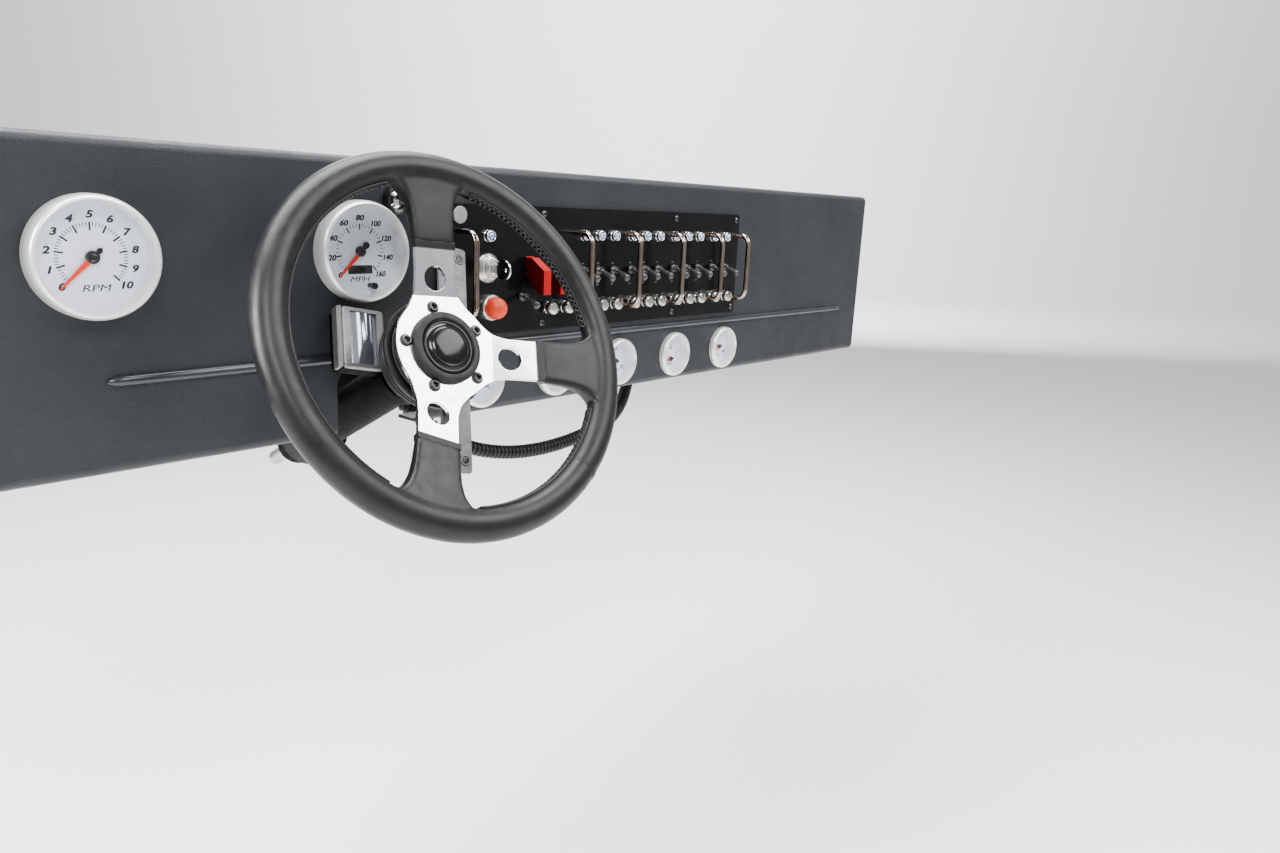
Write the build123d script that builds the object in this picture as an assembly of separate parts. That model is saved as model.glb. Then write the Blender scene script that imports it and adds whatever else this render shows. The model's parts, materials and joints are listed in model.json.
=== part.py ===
"""Dashboard with its steering column and steering wheel, off an off-road vehicle.

Millimetres. X to the driver's right, Y forward and away from the driver, Z up.
The origin is the middle of the four bolt holes in the rear flanges.
"""

import os
from math import cos, pi, radians, sin, tan

from build123d import *

os.makedirs("parts", exist_ok=True)

# Driving dimensions of the bent sheet dash.
dash_width = 1304.0
dash_height = 251.0
dash_depth = 180.0
sheet = 3.0
bend = 8.0
bottom_lip = 32.0
rear_flange = 36.0
bolt_span_x = dash_width - 40.0
bolt_span_z = dash_height - 91.0
bolt_hole = 10.5

# Where each thing sits on the face: U to the right of the middle, V up from mid height.
tach_u, tach_v = -543.0, 39.7
speedo_u, speedo_v = -320.0, 42.7
small_gauge_right_u, small_gauge_pitch, small_gauge_v = 258.4, 108.5, -91.3
small_gauge_count = 5
lamp_u, lamp_v, lamp_r = -279.5, 89.0, 14.0
bead_left_u, bead_right_u, bead_v, bead_r = -529.5, 578.0, -53.2, 4.0

# Gauges by their nominal sizes. The stand-off is the bezel's height over the face, and
# the dial and the glass are set below the bezel's crest.
big_bezel_r, big_case_r, big_standoff, big_case_depth = 45.2, 42.0, 18.0, 58.0
small_bezel_r, small_case_r, small_standoff, small_case_depth = 28.3, 26.0, 9.0, 52.0
big_dial_set, small_dial_set = 15.0, 13.0
bezel_wall, bezel_flare, glass_set = 4.2, 1.4, 3.6
dial_thick = 1.2
glass_thick = 1.2
low_hub_gauge, low_hub_drop = 1, 7.5

# Switch panel and the pitch of its switches.
panel_left_u, panel_right_u = -233.0, 278.0
panel_low_v, panel_high_v = -42.9, 88.3
panel_thick = 3.0
switch_pitch = 25.4
switch_gap = 31.6
toggle_v, light_v, breaker_v = 19.5, 59.0, -19.0
guard_high_v, guard_low_v = 61.7, -21.3
guard_standoff, guard_rod_r, guard_bend_r = 28.5, 3.1, 12.0
toggle_rise, toggle_reach, toggle_droop, covered_reach = 8.0, 19.0, 9.0, 15.0
stem_r, light_r, breaker_r = 3.9, 3.7, 4.6
light_bezel_r, light_high = 6.2, 6.6
knob_r, collar_r, collar_high, knob_high = 7.6, 7.0, 6.0, 8.6
cover_front, cover_half_wide, cover_wall = 31.0, 5.6, 1.4
plate_hole_slack = 0.2

# Steering column. The axis leans up toward the driver and a little to the left.
column_u, column_v = -300.0, -88.0
column_tilt, column_yaw = 27.0, -4.4
wheel_reach = 143.0
jacket_r, jacket_wall = 22.0, 2.5
shaft_r = 9.5
shaft_out = 62.0
spigot_r, spigot_long = 8.0, 36.0
bearing_slack = 0.05
notch_width, notch_top_v = 89.0, -60.0
rail_size, rail_from_rear = 30.0, 30.0

# Steering wheel. Heights S are along the axis from the rim's middle plane.
wheel_r = 171.5
rim_half_wide, rim_half_deep = 14.3, 13.5
wheel_turn = 75.0
plate_front_s, plate_thick = -18.0, 4.0
hub_r, hub_bore_r, bolt_circle_r, hub_screw_r = 46.0, 26.0, 37.2, 2.4
crease_r, spoke_slope = 47.0, 16.0
spoke_width, spoke_hole_r, spoke_hole_at, spoke_fillet = 37.5, 10.5, 62.0, 45.0
cover_start_r = 88.3
horn_ring_r, horn_cap_r = 32.0, 24.6

# Places worked out from the sizes above.
face_y = -dash_depth
panel_y = face_y - panel_thick
half_w, half_h = dash_width / 2, dash_height / 2
tilt, yaw = radians(column_tilt), radians(column_yaw)
axis = Vector(sin(yaw), -cos(tilt) * cos(yaw), sin(tilt) * cos(yaw)).normalized()
across = Vector(0, 0, 1).cross(axis).normalized()
crossing = Vector(column_u, face_y, column_v)
wheel_centre = crossing + axis * wheel_reach
column_plane = Plane(origin=wheel_centre, x_dir=across, z_dir=axis)


def on_column(shape):
    """Carry a shape drawn about the column's own axis to its place."""
    return shape.moved(column_plane.location)


def disc(r, low, high, u=0.0, v=0.0):
    """A cylinder along the column's axis between two heights."""
    return Pos(u, v, (low + high) / 2) * Cylinder(r, high - low)


def face_disc(r, near, far, u, v, y=None):
    """A cylinder square to the face. Near and far are heights over it, driver's side plus."""
    base = face_y if y is None else y
    return Pos(u, base - (near + far) / 2, v) * Rot(90, 0, 0) * Cylinder(r, far - near)


def face_ring(r_out, r_in, near, far, u, v):
    return face_disc(r_out, near, far, u, v) - face_disc(r_in, near - 1, far + 1, u, v)


def face_turn(points, u, v):
    """Turn a profile of (radius, height over the face) about an axis square to the face."""
    outline = make_face(Polyline(*points, close=True))
    body = revolve(outline, Axis.Y)
    return Pos(u, face_y, v) * Rot(180, 0, 0) * body


def turn_s(points):
    """Turn a profile of (radius, height along the column) about the column's axis."""
    outline = make_face(Polyline(*[(r, 0, s) for r, s in points], close=True))
    return revolve(outline, Axis.Z)


def box(x0, x1, y0, y1, z0, z1):
    return Pos((x0 + x1) / 2, (y0 + y1) / 2, (z0 + z1) / 2) * Box(x1 - x0, y1 - y0, z1 - z0)


def save(name, *shapes):
    solids = [s for shape in shapes for s in shape.solids()]
    whole = Compound(children=solids) if len(solids) > 1 else solids[0]
    export_step(whole, "parts/%s.step" % name)


# Columns of switches, left to right, in groups of three with a guard between groups.
group_step = 2 * switch_pitch + switch_gap
last_group_u = panel_right_u - 60.0
group_starts = [last_group_u - group_step * k for k in (4, 3, 2, 1, 0)]
switch_us = [g + switch_pitch * k for g in group_starts[:4] for k in range(3)]
switch_us += [group_starts[4], group_starts[4] + 1.1 * switch_pitch]
cover_us = switch_us[:2]
plain_us = switch_us[2:]
light_us = switch_us[3:]
breaker_us = switch_us[1:]
lone_toggle = (cover_us[0] - 10.5, toggle_v - 25.0)
guard_us = [g - switch_gap / 2 for g in group_starts[1:]]
guard_us = [panel_left_u + 24.0] + guard_us + [switch_us[-1] + 15.5]
lone_light = (-170.0, 57.5)
lock_u, lock_v, lock_r = -170.3, 25.0, 15.1
push_u, push_v, push_r, dome_r = -167.5, -15.0, 13.4, 11.2
plug_u, plug_v, plug_r = -206.3, 81.0 - plate_hole_slack, 8.5
plug_v = min(plug_v, panel_high_v - plug_r - 0.8 * panel_thick)
gauge_us = [small_gauge_right_u - small_gauge_pitch * k for k in range(small_gauge_count)]
big_gauges = [(tach_u, tach_v), (speedo_u, speedo_v)]

# The dash itself: one sheet, bent round all four front edges, open behind and below.
outer = box(-half_w, half_w, -dash_depth, 0, -half_h, half_h)
outer = fillet(outer.edges().filter_by(Axis.Y), bend)
outer = fillet(outer.faces().sort_by(Axis.Y)[0].edges(), bend)
inner_w, inner_h = half_w - sheet, half_h - sheet
hollow = box(-inner_w, inner_w, -dash_depth + sheet, -sheet, -inner_h, inner_h)
hollow = fillet(hollow.edges().filter_by(Axis.Y), bend - sheet)
hollow = fillet(hollow.faces().sort_by(Axis.Y)[0].edges(), bend - sheet)
flange_edge = half_w - rear_flange
rear_gap = box(-flange_edge, flange_edge, -2 * sheet, sheet, -half_h - 1, half_h - rear_flange)
under_gap = box(-inner_w, inner_w, face_y + bottom_lip, -sheet, -half_h - 1, -half_h + 2 * bend)
dash_panel = outer - hollow - rear_gap - under_gap

notch_left, notch_right = column_u - notch_width / 2, column_u + notch_width / 2
notch = box(notch_left, notch_right, face_y - 1, face_y + bottom_lip + 1, -half_h - 1, notch_top_v)
notch = fillet(notch.edges().filter_by(Axis.Y).group_by(Axis.Z)[-1], 20.0)
dash_panel -= notch
for u, v in big_gauges:
    dash_panel -= face_disc(big_case_r + plate_hole_slack, -9, 9, u, v)
for u in gauge_us:
    dash_panel -= face_disc(small_case_r + plate_hole_slack, -9, 9, u, small_gauge_v)
dash_panel -= face_disc(lamp_r - 2.0, -9, 9, lamp_u, lamp_v)
panel_edge, panel_shelf = 16.0, 12.0
dash_panel -= box(
    panel_left_u + panel_edge, panel_right_u - panel_edge, face_y - 1, face_y + sheet + 1,
    panel_low_v + panel_shelf, panel_high_v - panel_shelf,
)
hole = Rot(90, 0, 0) * Cylinder(bolt_hole / 2, 40)
for sx in (-1, 1):
    for sz in (-1, 1):
        dash_panel -= Pos(sx * bolt_span_x / 2, 0, sz * bolt_span_z / 2) * hole
bead = Pos((bead_left_u + bead_right_u) / 2, face_y, bead_v) * Rot(0, 90, 0)
bead = bead * Cylinder(bead_r, bead_right_u - bead_left_u)
bead &= box(-half_w, half_w, face_y - 20, face_y + 1, -half_h, half_h)
dash_panel += bead
save("dash_panel", dash_panel)

# A square tube across the hollow, end to end, that the column hangs from.
rail_y1 = -rail_from_rear
rail_y0 = rail_y1 - rail_size
rail_z0 = -half_h + 8.0
rail = box(-half_w + sheet, half_w - sheet, rail_y0, rail_y1, rail_z0, rail_z0 + rail_size)
rail -= box(-half_w, half_w, rail_y0 + 2.5, rail_y1 - 2.5, rail_z0 + 2.5, rail_z0 + rail_size - 2.5)
save("cross_rail", rail)

# Gauges. Name, bezel radius, case radius, stand-off, depth of the dial below the crest,
# depth behind the face, places.
small_gauges = [(u, small_gauge_v) for u in gauge_us]
gauge_table = [
    ("big_gauge", big_bezel_r, big_case_r, big_standoff, big_dial_set, big_case_depth, big_gauges),
    ("small_gauge", small_bezel_r, small_case_r, small_standoff, small_dial_set, small_case_depth,
     small_gauges),
]
for name, bezel_r, case_r, standoff, dial_set, depth, places in gauge_table:
    lip_r = bezel_r - bezel_wall
    inner_r = lip_r - bezel_flare
    dial_h = standoff - dial_set
    glass_h = standoff - glass_set
    hub_out_r, needle_long, tail_long = 0.105 * bezel_r, 0.71 * bezel_r, 0.2 * bezel_r
    root_half, tip_half = 0.044 * bezel_r, 0.012 * bezel_r
    cases, dials, needles, glasses = [], [], [], []
    for k, (u, v) in enumerate(places):
        profile = [
            (0, -depth), (case_r, -depth), (case_r, 0), (bezel_r, 0), (bezel_r, 0.5 * standoff),
            (bezel_r - 0.13 * bezel_wall, 0.78 * standoff), (bezel_r - 0.48 * bezel_wall, 0.95 * standoff),
            (lip_r + 0.4, standoff), (lip_r, standoff - 0.5), (inner_r, glass_h),
            (inner_r, dial_h - dial_thick), (0, dial_h - dial_thick),
        ]
        cases.append(face_turn(profile, u, v))
        dials.append(face_disc(inner_r - 0.1, dial_h - dial_thick, dial_h, u, v))
        glasses.append(face_disc(inner_r - 0.1, glass_h - glass_thick, glass_h, u, v))
        low = low_hub_drop if name == "small_gauge" and k == low_hub_gauge else 0.0
        hub = face_disc(hub_out_r, dial_h, dial_h + 3.2, u, v - low)
        arm = Plane.XZ * make_face(Polyline(
            (-needle_long, -tip_half), (tail_long, -root_half), (tail_long, root_half),
            (-needle_long, tip_half), close=True))
        arm = Pos(0, face_y - dial_h - 1.6, 0) * extrude(arm, 1.0)
        swing = 44.0 if name == "big_gauge" else 18.0 - 14.0 * k
        arm &= face_disc(inner_r - low - 1.0, dial_h, dial_h + 4, 0, 0)
        needles.append(hub + Pos(u, 0, v - low) * Rot(0, -swing, 0) * arm)
    save(name + "_cases", *cases)
    save(name + "_dials", *dials)
    save(name + "_needles", *needles)
    save(name + "_glasses", *glasses)

# The courtesy lamp above the column.
lamp_ring = face_turn([
    (lamp_r - 5, -10), (lamp_r - 2.2, -10), (lamp_r - 2.2, 0), (lamp_r, 0), (lamp_r - 1, 4), (lamp_r - 3, 5),
    (lamp_r - 5, 4)], lamp_u, lamp_v)
save("lamp_ring", lamp_ring)
lamp_in_r = lamp_r - 5.1
lens_profile = [(0, -6), (lamp_in_r, -6), (lamp_in_r, 2.0), (0.56 * lamp_in_r, 4.2), (0, 4.6)]
save("lamp_lens", face_turn(lens_profile, lamp_u, lamp_v))

# The flat black switch plate and everything through it.
panel = box(panel_left_u, panel_right_u, panel_y, face_y, panel_low_v, panel_high_v)
panel = fillet(panel.edges().filter_by(Axis.Y), 4.0)
for u in plain_us + cover_us:
    panel -= face_disc(stem_r + plate_hole_slack, -1, 9, u, toggle_v)
panel -= face_disc(stem_r + plate_hole_slack, -1, 9, *lone_toggle)
for u, v in [(u, light_v) for u in light_us] + [lone_light]:
    panel -= face_disc(light_r + plate_hole_slack, -1, 9, u, v)
for u in breaker_us:
    panel -= face_disc(breaker_r + plate_hole_slack, -1, 9, u, breaker_v)
panel -= face_disc(lock_r - 4 + plate_hole_slack, -1, 9, lock_u, lock_v)
panel -= face_disc(push_r - 4 + plate_hole_slack, -1, 9, push_u, push_v)
save("switch_panel", panel)

guards = []
for u in guard_us:
    front = panel_y - guard_standoff
    path = FilletPolyline(
        (u, panel_y, guard_high_v), (u, front, guard_high_v),
        (u, front, guard_low_v), (u, panel_y, guard_low_v), radius=guard_bend_r,
    )
    start = Plane(origin=(u, panel_y, guard_high_v), z_dir=(0, -1, 0))
    guards.append(sweep(start * Circle(guard_rod_r), path=path))
save("guard_bars", *guards)

# Toggles: a nut, a bush and a bat that droops. Those under the covers are shorter.
p = panel_thick
toggle_places = [(u, toggle_v, toggle_reach) for u in plain_us]
toggle_places += [(u, toggle_v, covered_reach) for u in cover_us] + [(*lone_toggle, toggle_reach)]
bushings, levers = [], []
for u, v, out in toggle_places:
    nut = extrude(RegularPolygon(1.44 * stem_r, 6), 0.56 * stem_r)
    nut = Pos(u, face_y - p, v) * Rot(90, 0, 0) * nut
    stem = face_disc(stem_r, -12, p + toggle_rise, u, v)
    bushings.append((nut + stem) - face_disc(0.75 * stem_r, p + 2, p + toggle_rise + 1, u, v))
    root = face_disc(0.67 * stem_r, p + 2, p + toggle_rise - 1.2, u, v)
    reach = (out**2 + toggle_droop**2) ** 0.5
    droop = 180 / pi * (toggle_droop / out)
    bat = Cone(0.49 * stem_r, 0.75 * stem_r, reach, align=(Align.CENTER, Align.CENTER, Align.MIN))
    bat = Pos(u, face_y - p - toggle_rise + 1.4, v) * Rot(90 + droop * 0.93, 0, 0) * bat
    levers.append(root + bat)
save("toggle_bushings", *bushings)
save("toggle_levers", *levers)

# Two flip-up covers over the first two switches: hinged above, open behind and below.
# Side outline as (height over the face, height over the toggle).
cover_low, cover_hinge = -21.5, 16.0
cover_side = [
    (4.0, cover_hinge), (12.0, cover_hinge), (cover_front, 4.0), (cover_front, cover_low),
    (cover_front - 9.0, cover_low), (6.2, -3.0), (6.2, 5.8), (4.0, 5.8),
]
w, wide = cover_wall, cover_half_wide
cover_hollow = [
    (3.0, cover_hinge - w), (12.0 - 0.4 * w, cover_hinge - w), (cover_front - w, 4.0 - 0.7 * w),
    (cover_front - w, cover_low - w), (3.0, cover_low - w),
]
covers = []
for u in cover_us:
    side = Plane.YZ * make_face(Polyline(*[(-h, v) for h, v in cover_side], close=True))
    body = extrude(side, wide, both=True)
    inside = Plane.YZ * make_face(Polyline(*[(-h, v) for h, v in cover_hollow], close=True))
    body -= extrude(inside, wide - w, both=True)
    foot = box(-wide, wide, panel_y - 1.0, panel_y, toggle_v + 5.2, toggle_v + cover_hinge + 1)
    covers.append(Pos(u, 0, 0) * (Pos(0, face_y, toggle_v) * body + foot))
save("safety_covers", *covers)

bezels, jewels = [], []
for u, v in [(u, light_v) for u in light_us] + [lone_light]:
    top = p + light_high
    bezels.append(face_turn([
        (0, -10), (light_r, -10), (light_r, p), (light_bezel_r, p), (light_bezel_r, top - 1.4),
        (light_bezel_r - 1.0, top), (light_r + 0.6, top), (light_r, top - 2.4), (0, top - 2.4)], u, v))
    jewels.append(face_turn([
        (0, top - 2.4), (light_r - 0.1, top - 2.4), (light_r - 0.3, top - 0.4), (0.43 * light_r, top + 1.0),
        (0, top + 1.3)], u, v))
save("indicator_bezels", *bezels)
save("indicator_jewels", *jewels)

# Breakers: a collar on the plate, and a round knob on a stem through it.
collars, buttons = [], []
c = p + collar_high
for u in breaker_us:
    collars.append(face_turn([
        (0.56 * breaker_r, -14), (breaker_r, -14), (breaker_r, p), (collar_r, p), (collar_r, c - 1.8),
        (collar_r - 1.2, c), (0.56 * breaker_r, c)], u, breaker_v))
    buttons.append(face_turn([
        (0, p - 4), (0.54 * breaker_r, p - 4), (0.54 * breaker_r, c), (knob_r - 0.6, c), (knob_r, c + 0.6),
        (knob_r, c + 0.6 * knob_high), (0.84 * knob_r, c + 0.88 * knob_high),
        (0.5 * knob_r, c + 0.97 * knob_high), (0, c + knob_high)], u, breaker_v))
save("breaker_collars", *collars)
save("breaker_buttons", *buttons)

# Ignition lock with its key: a cone with a ring round the keyway.
lock = face_turn([
    (0, -26), (lock_r - 4, -26), (lock_r - 4, p), (lock_r, p), (lock_r - 0.6, p + 3), (lock_r - 4.6, p + 11),
    (8.4, p + 12.5), (7.6, p + 11), (0, p + 11)], lock_u, lock_v)
key_low, key_high, bow_r = p + 5.0, p + 20.0, 10.4
key_root, key_tip = face_y - key_high - 4, face_y - key_low - 0.1
slot = box(lock_u - 1.3, lock_u + 1.3, face_y - key_high, face_y - key_low, lock_v - 4.2, lock_v + 4.2)
save("ignition_lock", lock - slot)
bow = Pos(lock_u, face_y - key_high - 8.0, lock_v) * Rot(0, 90, 0) * Cylinder(bow_r, 2.4)
bow -= Pos(lock_u, face_y - key_high - 13.5, lock_v) * Rot(0, 90, 0) * Cylinder(2.2, 9)
blade = box(lock_u - 1.2, lock_u + 1.2, key_root, key_tip, lock_v - 4.1, lock_v + 4.1)
save("ignition_key", bow + blade)

# Push button: a chrome bezel and a tall dome.
neck_r, bezel_top, dome_foot, dome_top = 4.9, p + 7.4, p + 12.0, p + 22.4
save("push_bezel", face_turn([
    (neck_r + 0.1, -16), (push_r - 4, -16), (push_r - 4, p), (push_r, p), (push_r, bezel_top - 1.6),
    (push_r - 1.4, bezel_top), (neck_r + 0.1, bezel_top)], push_u, push_v))
dome_high = dome_top - dome_foot
dome = [(0, p), (neck_r, p), (neck_r, bezel_top), (dome_r, bezel_top)]
dome += [(dome_r * cos(radians(a)), dome_foot + dome_high * sin(radians(a))) for a in (0, 22, 45, 68)]
save("push_button", face_turn(dome + [(0, dome_top)], push_u, push_v))
plug = [(0, p), (plug_r, p), (plug_r, p + 0.8), (plug_r - 0.8, p + 1.6), (0, p + 1.6)]
save("panel_plug", face_turn(plug, plug_u, plug_v))

# Steering column: jacket, bearings, hanger, and the warning pod at its upper end.
jacket_top, jacket_bottom = -84.0, -340.0
jacket_in_r = jacket_r - jacket_wall
jacket = disc(jacket_r, jacket_bottom, jacket_top) - disc(jacket_in_r, jacket_bottom - 1, jacket_top + 1)
save("column_jacket", on_column(jacket))
bearing_deep = 14.0
bearings = []
for low in (jacket_top - bearing_deep - 2, jacket_bottom + 2):
    bearing = disc(jacket_in_r - 0.1, low, low + bearing_deep)
    bearings.append(bearing - disc(shaft_r + bearing_slack, low - 1, low + bearing_deep + 1))
save("column_bearings", *[on_column(b) for b in bearings])

# The hanger: a ring round the jacket on a block whose top lies against the rail.
rail_mid_y = (rail_y0 + rail_y1) / 2
ring_s = wheel_reach * -1 + (rail_mid_y - face_y) / axis.Y
ring_centre = wheel_centre + axis * ring_s
ring = on_column(disc(jacket_r + 9, ring_s - 14, ring_s + 14))
post = box(ring_centre.X - 20, ring_centre.X + 20, rail_y0 + 2, rail_y1 - 2, ring_centre.Z, rail_z0)
flange = box(ring_centre.X - 46, ring_centre.X + 46, rail_y0 - 2, rail_y1 + 2, rail_z0 - 5, rail_z0)
hanger = ring + post + flange
hanger -= on_column(disc(jacket_r + 0.1, ring_s - 90, ring_s + 90))
save("column_hanger", hanger)

pod_x, pod_y, pod_turn = -35.0, 34.5, -12.0
pod_wide, pod_high, pod_front, pod_back = 40.0, 57.0, -88.0, -102.0
window_wide, window_high, frame_thick, frame_round = 25.0, 48.5, 4.6, 2.4
pod_face = pod_front + frame_thick
pod_place = Pos(pod_x, pod_y, 0) * Rot(0, 0, pod_turn)
housing = box(-pod_wide / 2 - 3, pod_wide / 2, -pod_high / 2, pod_high / 2, pod_back, pod_front)
housing = fillet(housing.edges().filter_by(Axis.Z), 5.0)
housing = pod_place * housing
housing += disc(jacket_r + 4, pod_back, pod_front)
housing -= disc(jacket_r + 0.1, pod_back - 1, pod_front + 1)
save("pod_housing", on_column(housing))
frame = box(-pod_wide / 2, pod_wide / 2, -pod_high / 2, pod_high / 2, pod_front, pod_face)
frame = fillet(frame.edges().filter_by(Axis.Z), 4.0)
frame = fillet(frame.faces().sort_by(Axis.Z)[-1].edges(), frame_round)
frame -= box(-window_wide / 2, window_wide / 2, -window_high / 2, window_high / 2, pod_front - 1, pod_face + 1)
frame = pod_place * frame
frame -= disc(jacket_r + 0.1, pod_back, pod_front + 5)
save("pod_frame", on_column(frame))
lens_half = window_high / 2 - 0.1
lens_low, lens_top = pod_face - 2.4, pod_face - 0.3
lens_arc = ThreePointArc((0, -lens_half, lens_low), (0, 0, lens_top), (0, lens_half, lens_low))
lens_side = make_face(lens_arc + Polyline(
    (0, lens_half, lens_low), (0, lens_half, pod_front), (0, -lens_half, pod_front), (0, -lens_half, lens_low)))
lens = pod_place * extrude(lens_side, window_wide / 2 - 0.1, both=True)
lens -= disc(jacket_r + 0.1, pod_back, pod_front + 9)
save("pod_lens", on_column(lens))

# Corrugated loom under the dash, slack between two glands on the rail's near face.
loom_d = 16.0
loom_points = [
    (-222.0, -72.0, -108.0), (-190.0, -138.0, -165.0), (-100.0, -148.0, -193.0),
    (10.0, -148.0, -191.0), (110.0, -144.0, -164.0), (190.0, -72.0, -108.0),
]
runs = [Vector(*b) - Vector(*a) for a, b in zip(loom_points, loom_points[1:])]
loom_radii = []
for a, b in zip(runs, runs[1:]):
    half_turn = radians(a.get_angle(b)) / 2
    loom_radii.append(0.45 * min(a.length, b.length) / tan(half_turn))
loom_path = FilletPolyline(*loom_points, radius=loom_radii)
loom_start = Plane(origin=loom_points[0], z_dir=runs[0])
save("wiring_loom", sweep(loom_start * Circle(loom_d / 2), path=loom_path))
print("loom radii", [round(r, 1) for r in loom_radii], "length", round(loom_path.length, 1))
glands = []
for point, way in ((loom_points[0], runs[0]), (loom_points[-1], -runs[-1])):
    place = Plane(origin=point, z_dir=way).location
    gland = Pos(0, 0, -12) * Cylinder(loom_d / 2 + 4, 50)
    gland -= Pos(0, 0, 30) * Cylinder(loom_d / 2 + 0.1, 60)
    foot = box(point[0] - 17, point[0] + 17, rail_y0 - 3, rail_y0, point[2] - 9, rail_z0 + rail_size - 2)
    glands.append((gland.moved(place) & box(-900, 900, -900, rail_y0, -900, 900)) + foot)
save("loom_glands", *glands)

# The wheel's side of the column, all of it turning: shaft, adaptor, boot, ring, bar.
bar_front_s = plate_front_s - plate_thick - 7.0
bar_back_s = bar_front_s - 3.0
adaptor_back_s = jacket_top + 7.0
shaft_top_s, shaft_end_s = bar_back_s - 4.0, jacket_bottom - shaft_out
spigot_top_s = shaft_end_s + spigot_long
shaft = disc(shaft_r, spigot_top_s, shaft_top_s) + disc(spigot_r, shaft_end_s, spigot_top_s)
save("steering_shaft", on_column(shaft))
adaptor = turn_s([
    (shaft_r + 0.1, adaptor_back_s), (17, adaptor_back_s), (20, -60), (38, bar_back_s - 8),
    (44, bar_back_s - 8), (44, bar_back_s), (0, bar_back_s), (0, shaft_top_s), (shaft_r + 0.1, shaft_top_s)])
save("hub_adaptor", on_column(adaptor))
boot_top, boot_low = bar_back_s, adaptor_back_s
boot = turn_s([
    (44.1, boot_top), (49, boot_top), (49, boot_top - 7), (46, boot_top - 10), (48, boot_top - 14),
    (48, boot_top - 19), (44, boot_top - 23), (45, boot_top - 27), (43, boot_top - 33), (36, boot_low),
    (17.5, boot_low), (17.5, boot_low + 2), (33, boot_low + 2), (41, boot_top - 31), (42, boot_top - 12),
    (44.1, boot_top - 8)])
save("hub_boot", on_column(boot))
spacer_r = hub_r - 3.0
spacer = disc(spacer_r, bar_front_s, plate_front_s - plate_thick)
spacer -= disc(hub_bore_r, bar_front_s - 1, plate_front_s)
save("hub_spacer", on_column(spacer))

bar_half, bar_low, bar_high = 105.0, 1.0, 29.2
bar_turn = Rot(0, 0, wheel_turn - 90)
bar = box(bar_low, bar_high, -bar_half, bar_half, bar_back_s, bar_front_s)
bar = fillet(bar.edges().filter_by(Axis.Z), 3.0)
bar = bar_turn * bar + disc(spacer_r, bar_back_s, bar_front_s)
bar -= disc(shaft_r + 2.5, bar_back_s - 1, bar_front_s + 1)
save("rear_bar", on_column(bar))

# Spoke plate: a hub disc and three spokes, creased up toward the driver.
spoke_angles = [wheel_turn + a for a in (-90.0, 10.0, 170.0)]
plate_out_r = cover_start_r + 12.0
outline = Sketch() + Circle(hub_r)
for a in spoke_angles:
    outline += Rot(0, 0, a) * Pos(plate_out_r / 2, 0) * Rectangle(plate_out_r, spoke_width)
corners = [v for v in outline.vertices() if abs((v.X**2 + v.Y**2) ** 0.5 - hub_r) < 0.2]
outline = fillet(corners, spoke_fillet)
prism = Pos(0, 0, -60) * extrude(outline, 120)
back_s = plate_front_s - plate_thick
slope = tan(radians(spoke_slope))
rise = (plate_out_r - crease_r) * slope
flat = disc(90, back_s, plate_front_s)
strips = []
for a in spoke_angles:
    flat -= Rot(0, 0, a) * box(crease_r, 140, -60, 60, back_s - 1, plate_front_s + 1)
    side = Plane.XZ * make_face(Polyline(
        (crease_r, back_s), (plate_out_r, back_s + rise), (plate_out_r, plate_front_s + rise),
        (crease_r, plate_front_s), close=True))
    strips.append(Rot(0, 0, a) * extrude(side, spoke_width * 0.9, both=True))
plate = prism & flat
for strip in strips:
    plate += prism & strip
plate -= disc(horn_cap_r + 0.4, -80, 40)
for a in spoke_angles:
    plate -= Rot(0, 0, a) * disc(spoke_hole_r, -80, 40, spoke_hole_at, 0)
for k in range(5):
    plate -= Rot(0, 0, 21 + 72 * k) * disc(hub_screw_r, -80, 40, bolt_circle_r, 0)
save("spoke_plate", on_column(plate))

# Rim and its three leather spoke covers, made as one.
rim_mid_r = wheel_r - rim_half_wide
rim = revolve(Plane.XZ * Pos(rim_mid_r, 0) * Ellipse(rim_half_wide, rim_half_deep), Axis.Z)
cover_s = plate_front_s - plate_thick / 2 + (cover_start_r - crease_r) * slope
# Leather section along a spoke: radius, half width, half thickness, height.
cover_table = [
    (cover_start_r, spoke_width / 2 + 1.0, 4.6, cover_s),
    (112.0, 21.5, 6.0, cover_s + 3.4),
    (132.0, 24.0, 8.0, cover_s + 5.0),
    (rim_mid_r - 8.0, 32.0, 8.6, 0.0),
]
for a in spoke_angles:
    sections = []
    for r, half_wide, half_thick, s in cover_table:
        section = RectangleRounded(2 * half_wide, 2 * half_thick, 0.8 * min(half_thick, half_wide))
        sections.append(Plane(origin=(r, 0, s), x_dir=(0, 1, 0), z_dir=(1, 0, 0)) * section)
    rim += Rot(0, 0, a) * loft(sections, ruled=True)
rim -= plate
save("wheel_rim", on_column(rim))

front_s = plate_front_s
ring_in_r = horn_cap_r + 0.1
horn_ring = turn_s([
    (ring_in_r, front_s), (ring_in_r, front_s + 6), (horn_ring_r - 3, front_s + 6.4),
    (horn_ring_r, front_s + 3.4), (horn_ring_r, front_s)])
save("horn_ring", on_column(horn_ring))
horn_cap = turn_s([
    (0, back_s + 1), (horn_cap_r, back_s + 1), (horn_cap_r, front_s + 5), (horn_cap_r - 3, front_s + 7.6),
    (horn_cap_r - 10, front_s + 9), (0, front_s + 9.8)])
save("horn_cap", on_column(horn_cap))
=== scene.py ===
"""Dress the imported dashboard, its steering column and its wheel, for a studio picture.

Everything is in metres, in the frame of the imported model: X to the driver's right,
Y forward, Z up. The dash's face is square to Y, and the wheel turns about the column.
"""

import json
from math import atan2, cos, pi, radians, sin, tan

import bmesh
import bpy
from bpy.props import FloatProperty, FloatVectorProperty, IntProperty, PointerProperty
from mathutils import Matrix, Vector


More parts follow.
